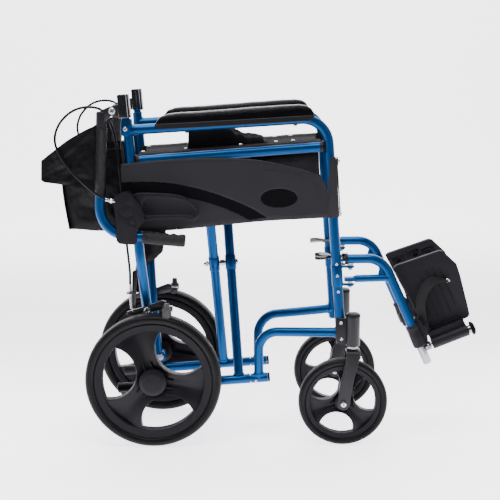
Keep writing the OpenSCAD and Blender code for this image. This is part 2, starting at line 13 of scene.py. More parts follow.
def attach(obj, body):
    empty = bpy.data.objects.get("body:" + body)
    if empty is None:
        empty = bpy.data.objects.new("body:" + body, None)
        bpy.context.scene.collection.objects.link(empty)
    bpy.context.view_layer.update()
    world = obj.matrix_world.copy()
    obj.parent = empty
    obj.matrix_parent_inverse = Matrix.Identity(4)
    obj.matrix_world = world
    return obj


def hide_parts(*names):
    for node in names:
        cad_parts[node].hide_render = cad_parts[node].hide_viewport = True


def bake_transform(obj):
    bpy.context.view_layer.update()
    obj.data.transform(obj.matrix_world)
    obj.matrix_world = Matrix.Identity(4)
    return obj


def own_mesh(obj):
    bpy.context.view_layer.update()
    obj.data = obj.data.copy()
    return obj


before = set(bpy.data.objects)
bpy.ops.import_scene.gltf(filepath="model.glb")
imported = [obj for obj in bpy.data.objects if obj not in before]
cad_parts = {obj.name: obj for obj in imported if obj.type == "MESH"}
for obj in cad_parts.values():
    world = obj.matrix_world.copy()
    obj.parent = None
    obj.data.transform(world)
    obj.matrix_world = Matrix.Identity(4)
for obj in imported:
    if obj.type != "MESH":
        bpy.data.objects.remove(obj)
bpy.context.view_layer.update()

# ------------------------------------------------------------ main sizes
MID_X = 245.97               # x that becomes the scene's origin
LEAN = radians(3.9)          # rise of the rails towards the front
LEAN_SIN, LEAN_COS = sin(LEAN), cos(LEAN)
RAIL_ORIGIN = (175, 133.9)   # x, z of the brace pivot on the lower rail
RAIL_GAP = 521.9             # lower rail to seat rail, square to them
TUBE = 11                    # radius of the main tubes
RAIL_Y = -68                 # lower rail
POST_Y = -112                # side frame, armrest and seat rail
CANE_Y = -140
CASTER_Y = -124
AXLE_Z = 152.5               # rear axle height and rear wheel radius
REAR_POST = -178.6           # rear upright, measured along the rail

FORWARD, LEFT, RIGHT, UP = (1, 0, 0), (0, 1, 0), (0, -1, 0), (0, 0, 1)
ALONG = (LEAN_COS, 0, LEAN_SIN)      # along the rails
ABOVE = (-LEAN_SIN, 0, LEAN_COS)     # square to the rails, upwards

Side = namedtuple("Side", "prefix sign")
SIDES = (Side("right_", -1), Side("left_", 1))
CENTRE = Side("", -1)        # single pieces, never mirrored


def both_sides(*builders):
    """Run the builders for the right side, then for the left."""
    for side in SIDES:
        for build in builders:
            build(side)


# ------------------------------------------------------------ points and paths
def add(a, b): return tuple(p + q for p, q in zip(a, b))
def sub(a, b): return tuple(p - q for p, q in zip(a, b))
def mul(a, factor): return tuple(p * factor for p in a)
def dot(a, b): return sum(p * q for p, q in zip(a, b))


def cross(a, b):
    return (a[1] * b[2] - a[2] * b[1], a[2] * b[0] - a[0] * b[2], a[0] * b[1] - a[1] * b[0])


def unit(a):
    length = sqrt(sum(p * p for p in a))
    return tuple(p / length for p in a)


def shift(point, direction, distance):
    return add(point, mul(direction, distance))


def tilted(along, y, above):
    """Point given along and above the leaning lower rail."""
    return (RAIL_ORIGIN[0] + along * LEAN_COS - above * LEAN_SIN, y,
            RAIL_ORIGIN[1] + along * LEAN_SIN + above * LEAN_COS)


def turns(count):
    """Evenly spaced angles of one full turn."""
    return [2 * pi * i / count for i in range(count)]


def ease(t):
    t = max(0.0, min(1.0, t))
    return t * t * (3 - 2 * t)


def squarish(value, power):
    return copysign(abs(value) ** power, value)


def interp(table, x, column=1, shape=lambda t: t):
    """Value of a column at x, where column 0 holds the stations."""
    for low, high in zip(table, table[1:]):
        if low[0] <= x <= high[0]:
            part = shape((x - low[0]) / (high[0] - low[0]))
            return low[column] + (high[column] - low[column]) * part
    return table[0][column] if x < table[0][0] else table[-1][column]


def bent(points, radius, step=9):
    """Path whose corners are rounded, with about step degrees between points."""
    out = [points[0]]
    for i in range(1, len(points) - 1):
        before, corner, after = points[i - 1:i + 2]
        a, b = unit(sub(corner, before)), unit(sub(after, corner))
        angle = acos(max(-1, min(1, dot(a, b))))
        if angle < 1e-3:
            continue
        cut = min(radius * tan(angle / 2), 0.48 * dist(corner, before),
                  0.48 * dist(corner, after))
        bend = cut / tan(angle / 2)
        axis = unit(cross(a, b))
        outward = unit(cross(a, axis))
        centre = sub(sub(corner, mul(a, cut)), mul(outward, bend))
        count = max(3, int(degrees(angle) / step) + 1)
        ahead = cross(axis, outward)
        for j in range(count + 1):
            turn = angle * j / count
            out.append(add(centre, add(mul(outward, bend * cos(turn)),
                                       mul(ahead, bend * sin(turn)))))
    out.append(points[-1])
    path = [out[0]]
    for point in out[1:]:
        if dist(point, path[-1]) > 0.05:
            path.append(point)
    return path


def dense(points, step):
    """Path with extra points about every step millimetres."""
    out = [points[0]]
    for a, b in zip(points, points[1:]):
        count = max(1, int(dist(a, b) / step))
        for j in range(1, count + 1):
            out.append(shift(a, sub(b, a), j / count))
    return out


def rounded(points, passes, closed=True):
    """Outline or path smoothed by cutting its corners."""
    for _ in range(passes):
        out = []
        for i in range(len(points) if closed else len(points) - 1):
            a, b = points[i], points[(i + 1) % len(points)]
            out.append(tuple(0.75 * p + 0.25 * q for p, q in zip(a, b)))
            out.append(tuple(0.25 * p + 0.75 * q for p, q in zip(a, b)))
        points = out if closed else [points[0]] + out + [points[-1]]
    return points


def path_frames(path):
    """(point, two directions square to the path, distance travelled) for each point."""
    last = len(path) - 1
    tangents = [unit(sub(path[min(last, i + 1)], path[max(0, i - 1)]))
                for i in range(len(path))]
    across = unit(cross(LEFT if abs(tangents[0][1]) < 0.9 else FORWARD, tangents[0]))
    out = []
    travelled = 0
    for i, (point, tangent) in enumerate(zip(path, tangents)):
        across = unit(sub(across, mul(tangent, dot(across, tangent))))
        if i:
            travelled += dist(point, path[i - 1])
        out.append((point, across, cross(tangent, across), travelled))
    return out


def add_variation(tree, coords, shader, color, rough, vary, vary_scale, rough_vary):
    """Slow noise that shifts the colour and, if asked, the roughness."""
    cloud = tree.nodes.new("ShaderNodeTexNoise")
    cloud.inputs["Scale"].default_value = vary_scale
    cloud.inputs["Detail"].default_value = 5
    tree.links.new(coords, cloud.inputs["Vector"])
    mix = tree.nodes.new("ShaderNodeMix")
    mix.data_type = "RGBA"
    mix.inputs["A"].default_value = (*[c * (1 - vary) for c in color], 1)
    mix.inputs["B"].default_value = (*[min(1, c * (1 + vary)) for c in color], 1)
    tree.links.new(cloud.outputs["Fac"], mix.inputs["Factor"])
    tree.links.new(mix.outputs["Result"], shader.inputs["Base Color"])
    if rough_vary:
        spread = tree.nodes.new("ShaderNodeMapRange")
        spread.inputs["From Min"].default_value = 0.3
        spread.inputs["From Max"].default_value = 0.7
        spread.inputs["To Min"].default_value = max(0.02, rough - rough_vary)
        spread.inputs["To Max"].default_value = min(1, rough + rough_vary)
        tree.links.new(cloud.outputs["Fac"], spread.inputs["Value"])
        tree.links.new(spread.outputs["Result"], shader.inputs["Roughness"])


def relief_height(tree, coords, relief, scale):
    """Output socket of the fine surface pattern."""
    if relief == "noise":
        grain = tree.nodes.new("ShaderNodeTexNoise")
        grain.inputs["Scale"].default_value = scale
        grain.inputs["Detail"].default_value = 6.0
        tree.links.new(coords, grain.inputs["Vector"])
        return grain.outputs["Fac"]
    if relief == "voronoi":
        cells = tree.nodes.new("ShaderNodeTexVoronoi")
        cells.inputs["Scale"].default_value = scale
        tree.links.new(coords, cells.inputs["Vector"])
        return cells.outputs["Distance"]
    threads = []
    for direction in ("X", "Z"):
        wave = tree.nodes.new("ShaderNodeTexWave")
        wave.wave_type = "BANDS"
        wave.bands_direction = direction
        wave.inputs["Scale"].default_value = scale
        wave.inputs["Distortion"].default_value = 0.4
        tree.links.new(coords, wave.inputs["Vector"])
        threads.append(wave.outputs["Fac"])
    weave = tree.nodes.new("ShaderNodeMath")
    weave.operation = "MULTIPLY"
    for i in (0, 1):
        tree.links.new(threads[i], weave.inputs[i])
    return weave.outputs[0]


def material(name, slot, color, rough, bump, scale, relief="noise", metal=0.0, spec=0.5,
             coat=0.0, coat_rough=0.1, vary=0.0, vary_scale=12.0, rough_vary=0.0):
    """bump and scale: strength and scale of the relief; vary: share of colour change."""
    new = bpy.data.materials.new("v_" + name)
    new.use_nodes = True
    tree = new.node_tree
    shader = tree.nodes["Principled BSDF"]
    for socket, value in (("Base Color", (*color, 1)), ("Roughness", rough),
                          ("Metallic", metal), ("Specular IOR Level", spec),
                          ("Coat Weight", coat), ("Coat Roughness", coat_rough)):
        shader.inputs[socket].default_value = value
    coords = tree.nodes.new("ShaderNodeTexCoord").outputs["Object"]
    if vary:
        add_variation(tree, coords, shader, color, rough, vary, vary_scale, rough_vary)
    bumps = tree.nodes.new("ShaderNodeBump")
    bumps.inputs["Strength"].default_value = bump
    bumps.inputs["Distance"].default_value = 0.001
    tree.links.new(relief_height(tree, coords, relief, scale), bumps.inputs["Height"])
    tree.links.new(bumps.outputs["Normal"], shader.inputs["Normal"])
    return new


BLUE = material("blue_paint", "frame_paint", (0.000, 0.052, 0.175), rough=0.33, metal=0.70,
                coat=0.10, coat_rough=0.05, bump=0.03, scale=900, vary=0.06, spec=0.2)
PLASTIC = material("moulded_plastic", "black_plastic", (0.0078, 0.0070, 0.0098), rough=0.50,
                   bump=0.22, scale=1500, vary=0.10, vary_scale=18, spec=0.17,
                   rough_vary=0.05)
# near-black plastic: the end knob's own colour, and painted shade in the skirt guard's recesses
DARK_PLASTIC_AND_RECESS_SHADE = material("dark_plastic_and_recess_shade", "black_plastic", (0.0032, 0.0030, 0.0042),
                        rough=0.60, bump=0.2, scale=1500, spec=0.05, vary=0.1)
PLATE = material("plate_plastic", "black_plastic", (0.0165, 0.0155, 0.0190), rough=0.62,
                 bump=0.22, scale=1500, vary=0.10, vary_scale=18, spec=0.07, rough_vary=0.05)
GUARD = material("guard_plastic", "black_plastic", (0.0165, 0.0152, 0.0190), rough=0.50,
                 bump=0.24, scale=1500, vary=0.12, vary_scale=14, spec=0.22, rough_vary=0.06)
RIM = material("rim_plastic", "black_plastic", (0.0062, 0.0058, 0.0078), rough=0.44,
               bump=0.2, scale=1200, vary=0.12, vary_scale=25, spec=0.15)
TYRE = material("tyre_rubber", "tyre_rubber", (0.0028, 0.0026, 0.0032), rough=0.46,
                bump=0.25, scale=700, vary=0.15, vary_scale=30, spec=0.15, rough_vary=0.08)
GRIP = material("grip_rubber", "grip_rubber", (0.0175, 0.0170, 0.0185), rough=0.62,
                bump=0.3, scale=1000, vary=0.15, spec=0.15)
VINYL = material("pad_vinyl", "pad_foam", (0.0030, 0.0030, 0.0038), rough=0.22, bump=0.8,
                 scale=380, relief="voronoi", vary=0.2, spec=0.045, rough_vary=0.08)
PADBASE = material("pad_base", "pad_foam", (0.006, 0.006, 0.008), rough=0.5, bump=0.15,
                   scale=900, spec=0.22)
NYLON = material("nylon_cloth", "nylon", (0.0018, 0.0016, 0.0025), rough=0.36, bump=0.25,
                 scale=420, relief="weave", vary=0.25, vary_scale=9, spec=0.17)
NYLON_SEAT = material("nylon_seat", "nylon", (0.0050, 0.0047, 0.0060), rough=0.75, bump=0.4,
                      scale=420, relief="weave", vary=0.3, vary_scale=9, spec=0.03)
NYLON_WORN = material("nylon_sleeve", "nylon", (0.0036, 0.0034, 0.0044), rough=0.36,
                      bump=0.5, scale=420, relief="weave", vary=0.5, vary_scale=28, spec=0.30)
WEB = material("webbing", "nylon", (0.010, 0.0095, 0.0105), rough=0.75, bump=0.8, scale=260,
               relief="weave", vary=0.2, spec=0.3)
BLACK_PAINT = material("black_paint", "black_paint", (0.010, 0.0100, 0.0115), rough=0.33,
                       coat=0.25, bump=0.06, scale=700, vary=0.1)
FORK = material("fork_coat", "black_paint", (0.0062, 0.0058, 0.0075), rough=0.42, bump=0.12,
                scale=1100, vary=0.12, spec=0.28)
ZINC = material("zinc", "zinc", (0.55, 0.56, 0.58), rough=0.22, metal=1.0, bump=0.08,
                scale=600, vary=0.15, vary_scale=60)
STREAK = material("streaked_steel", "black_paint", (0.17, 0.175, 0.19), rough=0.11,
                  metal=1.0, coat=0.2, bump=0.12, scale=90, vary=0.45, vary_scale=70)
CHROME = material("chrome", "chrome_tube", (0.30, 0.31, 0.33), rough=0.10, metal=1.0,
                  bump=0.03, scale=200, vary=0.1, vary_scale=40)
PADDLE = material("paddle_gloss", "black_paint", (0.010, 0.010, 0.012), rough=0.16,
                  coat=0.6, coat_rough=0.05, bump=0.05, scale=300, vary=0.2, spec=0.6)
CABLE = material("cable_jacket", "cable_jacket", (0.004, 0.004, 0.005), rough=0.34,
                 bump=0.1, scale=900, spec=0.16)
SHOE = material("shoe_grey", "black_plastic", (0.055, 0.055, 0.058), rough=0.6, bump=0.3,
                scale=900, spec=0.35, vary=0.15)
# near-black for the insides of holes and sockets: painted shade
HOLE_SHADE = material("socket_shade", "black_plastic", (0.004, 0.004, 0.004), rough=0.7, bump=0.1,
                scale=500)


# ------------------------------------------------------------ mesh tools
def shade(obj, angle=35):
    """Outward normals and smooth shading, sharp above the angle."""
    mesh = bmesh.new()
    mesh.from_mesh(obj.data)
    bmesh.ops.recalc_face_normals(mesh, faces=mesh.faces)
    mesh.to_mesh(obj.data)
    mesh.free()
    obj.data.shade_smooth()
    obj.data.set_sharp_from_angle(angle=radians(angle))


def apply_modifiers(obj):
    graph = bpy.context.evaluated_depsgraph_get()
    mesh = bpy.data.meshes.new_from_object(obj.evaluated_get(graph))
    obj.modifiers.clear()
    obj.data = mesh


def round_edges(obj, width, segments, limit=35):
    bevel = obj.modifiers.new("b", "BEVEL")
    bevel.width = width / 1000
    bevel.segments = segments
    bevel.limit_method = "ANGLE"
    bevel.angle_limit = radians(limit)
    bevel.use_clamp_overlap = True
    bevel.harden_normals = False
    apply_modifiers(obj)


def carve(obj, side, shape, shaded=True):
    """Cut the shape out of the object."""
    cutter = shape.to_object(side, "cutter")
    if shaded:
        shade(cutter)
    cut = obj.modifiers.new("c", "BOOLEAN")
    cut.operation = "DIFFERENCE"
    cut.object = cutter
    cut.solver = "EXACT"
    apply_modifiers(obj)
    bpy.data.objects.remove(cutter, do_unlink=True)


def finish(obj, side, materials, body, replaces=None, angle=35):
    for entry in materials:
        obj.data.materials.append(entry)
    shade(obj, angle)
    if body:
        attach(obj, side.prefix + body)
    if replaces:
        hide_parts(side.prefix + replaces)
    return obj


def disc(radius, top, bottom, chamfer=None):
    """Profile of a solid disc; chamfer is (across, along the axis)."""
    if not chamfer:
        return [(0, top), (radius, top), (radius, bottom), (0, bottom)]
    across, deep = chamfer
    return [(0, top), (radius - across, top), (radius, top - deep),
            (radius, bottom + deep), (radius - across, bottom), (0, bottom)]


class Shape:
    """Vertices and faces gathered for one object."""

    def __init__(self):
        self.verts, self.faces = [], []

    def grid(self, rings, loop=False):
        """Skin over closed rings of points; loop joins the last ring to the first."""
        base = len(self.verts)
        count, size = len(rings), len(rings[0])
        for ring in rings:
            self.verts.extend(ring)
        for i in range(count if loop else count - 1):
            here, there = base + i * size, base + ((i + 1) % count) * size
            for j in range(size):
                k = (j + 1) % size
                self.faces.append((here + j, here + k, there + k, there + j))
        if not loop:
            self.faces.append(tuple(base + j for j in reversed(range(size))))
            self.faces.append(tuple(base + (count - 1) * size + j for j in range(size)))
        return self

    def tube(self, path, radius, segments, warp=None):
        """radius: a number, a tuple with one per point, or a function of
        (distance, index). warp(radius, turn, distance) gives the section's points."""
        rings = []
        for i, (point, across, over, travelled) in enumerate(path_frames(path)):
            size = radius
            if isinstance(radius, tuple):
                size = radius[i]
            elif callable(radius):
                size = radius(travelled, i)
            ring = []
            for turn in turns(segments):
                a, b = (warp(size, turn, travelled) if warp
                        else (size * cos(turn), size * sin(turn)))
                ring.append(add(point, add(mul(across, a), mul(over, b))))
            rings.append(ring)
        return self.grid(rings)

    def lathe(self, profile, centre, segments, axis=RIGHT, up=None):
        """Turn (radius, distance along the axis) points. A profile that starts at
        radius 0 runs from pole to pole; any other is a loop clear of the axis."""
        axis = unit(axis)
        up = up or (UP if abs(axis[2]) < 0.9 else FORWARD)
        across = unit(cross(up, axis))
        over = cross(axis, across)
        rings = []
        for turn in turns(segments):
            out = add(mul(across, cos(turn)), mul(over, sin(turn)))
            rings.append([add(centre, add(mul(out, r), mul(axis, h))) for r, h in profile])
        if profile[0][0]:
            return self.grid(rings, loop=True)
        base = len(self.verts)
        size = len(profile) - 2
        self.verts += [shift(centre, axis, profile[0][1]), shift(centre, axis, profile[-1][1])]
        for ring in rings:
            self.verts.extend(ring[1:-1])
        for j in range(segments):
            here = base + 2 + j * size
            there = base + 2 + ((j + 1) % segments) * size
            self.faces.append((base, there, here))
            for i in range(size - 1):
                self.faces.append((here + i, there + i, there + i + 1, here + i + 1))
            self.faces.append((base + 1, here + size - 1, there + size - 1))
        return self

    def prism(self, outline, low, high):
        """Outline of (x, z) points stretched from y = low to y = high."""
        base, n = len(self.verts), len(outline)
        self.verts += [(x, low, z) for x, z in outline] + [(x, high, z) for x, z in outline]
        self.faces.append(tuple(base + i for i in range(n)))
        self.faces.append(tuple(base + n + i for i in reversed(range(n))))
        for i in range(n):
            j = (i + 1) % n
            self.faces.append((base + i, base + n + i, base + n + j, base + j))
        return self

    def flat_plate(self, outline, low, high):
        """Outline of (x, y) points stretched from z = low to z = high."""
        base, n = len(self.verts), len(outline)
        self.verts += [(x, y, low) for x, y in outline] + [(x, y, high) for x, y in outline]
        self.faces.append(tuple(base + i for i in reversed(range(n))))
        self.faces.append(tuple(base + n + i for i in range(n)))
        for i in range(n):
            j = (i + 1) % n
            self.faces.append((base + i, base + j, base + n + j, base + n + i))
        return self

    def box(self, centre, axes, halves):
        """Block with the given half sizes along three axes."""
        base = len(self.verts)
        first, second, third = (mul(axis, half) for axis, half in zip(axes, halves))
        for i in (-1, 1):
            for j in (-1, 1):
                for k in (-1, 1):
                    corner = add(mul(first, i), add(mul(second, j), mul(third, k)))
                    self.verts.append(add(centre, corner))
        for face in ((0, 1, 3, 2), (4, 6, 7, 5), (0, 4, 5, 1), (2, 3, 7, 6), (0, 2, 6, 4),
                     (1, 5, 7, 3)):
            self.faces.append(tuple(base + i for i in face))
        return self

    def weld(self, point, axis, radius, bead):
        """Rippled weld bead round a bar."""
        axis = unit(axis)
        across = unit(cross((0.123, 0.9, 0.31), axis))
        over = cross(axis, across)
        rings = []
        for turn in turns(40):
            size = bead * (1 + 0.16 * sin(turn * 13))
            out = add(mul(across, cos(turn)), mul(over, sin(turn)))
            middle = shift(point, out, radius)
            rings.append([add(middle, add(mul(out, size * cos(b)),
                                          mul(axis, size * 1.5 * sin(b)))) for b in turns(8)])
        return self.grid(rings, loop=True)

    def bolt(self, point, radius, height, axis=RIGHT, socket=0.5, segments=24):
        """Domed head that stands on the point; socket is its share of the radius."""
        floor = height - min(1.6, height * 0.8)
        hole = radius * socket
        profile = [(0, -2.0), (radius * 0.9, -2.0), (radius, -1.6), (radius, height * 0.25),
                   (radius * 0.93, height * 0.6), (radius * 0.75, height * 0.88),
                   (hole + 0.35, height), (hole, height - 0.2), (hole * 0.96, floor),
                   (0, floor)]
        return self.lathe(profile, point, segments, axis)

    def ribbon(self, path, width, thick, across):
        """Flat band along a path, its width lying near the given direction."""
        rings = []
        for point, first, second, _ in path_frames(path):
            tangent = unit(cross(first, second))
            flat = unit(sub(across, mul(tangent, dot(across, tangent))))
            a, b = mul(flat, width / 2), mul(cross(tangent, flat), thick / 2)
            rings.append([add(point, add(mul(a, i), mul(b, j)))
                          for i, j in ((1, 1), (-1, 1), (-1, -1), (1, -1))])
        return self.grid(rings)

    def to_object(self, side, part):
        verts, faces = self.verts, self.faces
        if side.sign > 0:
            verts = [(x, -y, z) for x, y, z in verts]
            faces = [tuple(reversed(face)) for face in faces]
        mesh = bpy.data.meshes.new(part)
        mesh.from_pydata([((x - MID_X) / 1000, y / 1000, z / 1000) for x, y, z in verts],
                         [], faces)
        mesh.validate()
        obj = bpy.data.objects.new(side.prefix + part, mesh)
        bpy.context.scene.collection.objects.link(obj)
        return obj

    def build(self, side, part, material, body, replaces=None, angle=35, bevel=0.0,
              segments=2):
        obj = self.to_object(side, part)
        if bevel:
            shade(obj, angle)
            round_edges(obj, bevel, segments)
        return finish(obj, side, [material], body, replaces, angle)


# ------------------------------------------------------------ wheels
# outer half of the tyre section: (share of its height, share of its half width)
TYRE_HALF = [
    (-0.02, 0.74), (0.10, 0.86), (0.22, 0.93), (0.40, 0.985), (0.56, 1.0), (0.70, 0.965),
    (0.82, 0.86), (0.91, 0.70), (0.955, 0.56), (0.962, 0.52), (0.950, 0.50), (0.962, 0.48),
    (0.985, 0.30), (0.996, 0.14), (0.99, 0.09), (0.975, 0.07), (0.975, 0.035),
    (0.99, 0.015), (1.0, 0.0)]
# rim section: (depth below the rim radius on the rear wheel, share of the half width)
RIM_STEPS = [
    (2.6, 0.82), (4.5, 0.80), (13, 0.74), (16.5, 0.71), (18.4, 0.62), (19.0, 0.45), (17.5, 0),
    (19.0, -0.45), (18, -0.66), (15, -0.74), (3, -0.8)]
REAR_RIM = 132.5             # the web is drawn at this rim radius and scaled
WEB_OUTER, WEB_INNER = 114.0, 24.0
LENS_CENTRE, LENS_R = 99.0, 60.4     # round opening in each third of the web
# stations from the opening (0) to the valley between openings (1)
WEB_STATIONS = [0, 0.012, 0.03, 0.05, 0.075, 0.11, 0.2, 0.35, 0.5, 0.65, 0.8, 0.88, 0.93,
                0.965, 0.985, 1.0]


def web_outlines(steps):
    """Matching points round the opening and round the edge of one third of the web."""
    half = radians(60)
    edge = WEB_OUTER + 3
    reach = acos((WEB_OUTER ** 2 + LENS_CENTRE ** 2 - LENS_R ** 2)
                 / (2 * WEB_OUTER * LENS_CENTRE))
    start = atan2(WEB_OUTER * sin(reach), WEB_OUTER * cos(reach) - LENS_CENTRE)
    valley = edge - WEB_INNER
    total = 2 * valley + WEB_INNER * 2 * half
    inner, outer = [], []
    for i in range(steps + 1):
        turn = start + (2 * pi - 2 * start) * i / steps
        inner.append((LENS_CENTRE + LENS_R * cos(turn), LENS_R * sin(turn)))
        travelled = total * i / steps
        if travelled < valley:
            radius, angle = edge - travelled, half
        elif travelled > total - valley:
            radius, angle = edge - (total - travelled), -half
        else:
            radius, angle = WEB_INNER, half - (travelled - valley) / WEB_INNER
        outer.append((radius * cos(angle), radius * sin(angle)))
    return inner, outer, edge


def web_sector(shape, centre, scale, angle, lip, deep, back):
    """One third of the web. lip, deep: outward height at the opening and in the valley;
    back: depth of the inner face."""
    steps = 36
    inner, outer, edge = web_outlines(steps)
    c, s = cos(radians(angle)), sin(radians(angle))

    def place(x, z, out):
        return (centre[0] + scale * (x * c - z * s), centre[1] - out * scale,
                centre[2] + scale * (x * s + z * c))

    def height(station, radius):
        share = (radius - WEB_INNER) / (WEB_OUTER - WEB_INNER)
        rise = lip + 3.0 * (1 - min(1, share))
        rounding = -2.2 * (1 - min(1, station / 0.03)) ** 2
        ridge = 1.3 * exp(-((station - 0.045) / 0.03) ** 2)
        fall = (lip - deep) * ease((station - 0.10) / 0.9) ** 0.9
        return rise + rounding + ridge - fall

    rings = []
    for i in range(steps + 1):
        front, rear = [], []
        for station in WEB_STATIONS:
            x = inner[i][0] * (1 - station) + outer[i][0] * station
            z = inner[i][1] * (1 - station) + outer[i][1] * station
            radius = hypot(x, z)
            if i in (0, steps):          # the ends run into the rim
                x, z = x * edge / radius, z * edge / radius
            out = height(station, radius)
            front.append(place(x, z, out))
            rear.append(place(x, z, -back + 0.35 * (lip - out)))
        rings.append(front + rear[::-1])
    shape.grid(rings)


def web_ribs(shape, centre, scale, angle, rim, hub, lip, back):
    """Ribs along the valley: one on the inner face, two short ones by the hub."""
    turn = radians(angle + 60)
    out, across = (cos(turn), 0, sin(turn)), (-sin(turn), 0, cos(turn))
    axes = (out, LEFT, across)
    middle = (hub + (rim - 16 * scale)) / 2
    shape.box((centre[0] + out[0] * middle, centre[1] + back * scale + 2.5 * scale,
               centre[2] + out[2] * middle),
              axes, (middle - hub + 2, 3.2 * scale, 1.6 * scale))
    reach = hub + 6 * scale
    for offset in (-9 * scale, 9 * scale):
        shape.box((centre[0] + out[0] * reach + across[0] * offset,
                   centre[1] - (lip - 2) * scale,
                   centre[2] + out[2] * reach + across[2] * offset),
                  axes, (8 * scale, 3.0 * scale, 1.3 * scale))


def wheel(side, name, body, replaced, centre, radius, rim, width, first_angle,
          hub, hub_out, hub_in, neck, lip, deep, back):
    """hub_out, hub_in and neck are distances from the wheel's middle plane."""
    scale = rim / REAR_RIM
    half = width / 2
    tyre = [(rim + (radius - rim) * high, half * out) for high, out in TYRE_HALF]
    tyre += [(r, -out) for r, out in reversed(tyre[:-1])]
    tyre += [(rim - 1.0, -half * 0.5), (rim - 1.0, half * 0.5)]
    Shape().lathe(tyre, centre, 128).build(side, name + "_tyre", TYRE, body,
                                           replaced + "_tyre", angle=38)
    section = [(rim - 0.2, half * 0.62), (rim - 0.6, half * 0.76)]
    section += [(rim - depth * scale, half * out) for depth, out in RIM_STEPS]
    section += [(rim - 0.2, -half * 0.62)]
    shape = Shape().lathe(section, centre, 128)
    angles = [first_angle + 120 * i for i in range(3)]
    for angle in angles:
        web_sector(shape, centre, scale, angle, lip, deep, back)
    shape.lathe([(0, hub_out), (hub * 0.70, hub_out), (hub * 0.76, hub_out - 0.25),
                 (hub * 0.80, hub_out - 0.9), (hub * 0.93, hub_out - 2.6),
                 (hub * 0.985, hub_out - 3.6), (hub, hub_out - 5.4),
                 (hub * 1.005, neck + 1.5), (hub * 1.03, neck), (hub * 0.96, neck - 2.2),
                 (hub * 0.9, 0), (hub * 0.86, -hub_in + 6), (hub * 0.62, -hub_in + 2),
                 (hub * 0.6, -hub_in), (0, -hub_in)], centre, 64)
    for angle in angles:
        web_ribs(shape, centre, scale, angle, rim, hub, lip, back)
    shape.build(side, name + "_rim", RIM, body, replaced + "_rim", angle=32)


def rear_wheel(side):
    wheel(side, "rear", "rear_wheel", "rear", centre=(0, -125, AXLE_Z), radius=AXLE_Z,
          rim=REAR_RIM, width=40, first_angle=49, hub=30, hub_out=29, hub_in=30, neck=14,
          lip=11.5, deep=1.5, back=9)


def caster_wheel(side):
    wheel(side, "front", "caster", "caster", centre=(424, CASTER_Y, 100), radius=100,
          rim=85, width=30, first_angle=16, hub=18.5, hub_out=15, hub_in=15, neck=10,
          lip=13.5, deep=2, back=11)


both_sides(rear_wheel, caster_wheel)


# ------------------------------------------------------------ side frames
def front_post_x(z):
    return 404 - (z - 476) * 0.0682


def frame_tubes(side):
    shape = Shape()
    # rear upright, stepping inwards to the lower rail
    shape.tube(bent([tilted(REAR_POST, POST_Y, 613), tilted(REAR_POST, POST_Y, 310),
                     tilted(REAR_POST, RAIL_Y, 180), tilted(REAR_POST, RAIL_Y, -6)], 70),
               TUBE, 32)
    # armrest tube and front upright in one bend
    shape.tube(bent([(-43, POST_Y, 709.1), (386.4, POST_Y, 733.9), (420.6, POST_Y, 233.5)],
                    57, 6), TUBE, 32)
    shape.weld((-32, POST_Y, 709.8), (1, 0, 0.0577), 11.2, 1.6)
    # stay from the lower rail to the front upright
    shape.tube(bent([(236, RAIL_Y, 138.5), (236, -75, 249), (416, POST_Y, 256)], 47, 6),
               10.8, 32)
    shape.weld((236.2, -68.4, 149), UP, 10.8, 1.8)
    shape.weld((407.5, -110.3, 255.8), (1, -0.2, 0), 10.6, 1.8)
    # lower rail, with the thin shaft that carries the brace sleeve
    shape.tube(dense([tilted(-222, RAIL_Y, 0), tilted(-47, RAIL_Y, 0)], 40), TUBE, 32)
    shape.tube([tilted(-48, RAIL_Y, 0), tilted(44, RAIL_Y, 0)], 7, 24)
    shape.tube([tilted(43, RAIL_Y, 0), tilted(82, RAIL_Y, 0)], TUBE, 32)
    shape.weld(tilted(REAR_POST, RAIL_Y, 10.4), ABOVE, 11.2, 1.8)
    # rear axle boss, then the gusset at the foot of the stay
    shape.lathe(disc(13.4, 0, -32, (0.4, 1)), (0, -92.3, AXLE_Z), 40)
    shape.weld((0, -79, AXLE_Z), LEFT, 13.2, 1.7)
    shape.prism([(225, 141), (249, 142), (246, 152), (228, 151)], -78, -58)
    shape.build(side, "frame_tubes", BLUE, "frame", "side_frame", angle=40)


def hanger_lugs(side):
    shape = Shape()
    outline = [(404, -118), (440, -119.5), (446, -117), (448.5, -112), (446, -107),
               (440, -104.5), (404, -106)]
    for z in (366, 406):
        shape.flat_plate(outline, z - 2, z + 2)
        shape.lathe(disc(6.9, 2.2, -4, (0.4, 0.4)), (439, POST_Y, z), 28, UP)
    shape.build(side, "hanger_lugs", BLUE, "frame", bevel=0.5)


def lug_sleeve(side):
    ends = [(front_post_x(z), POST_Y, z) for z in (362, 410)]
    Shape().tube(ends, 12.4, 32).build(side, "lug_sleeve", BLUE, "frame", bevel=0.6)


both_sides(frame_tubes, hanger_lugs, lug_sleeve)


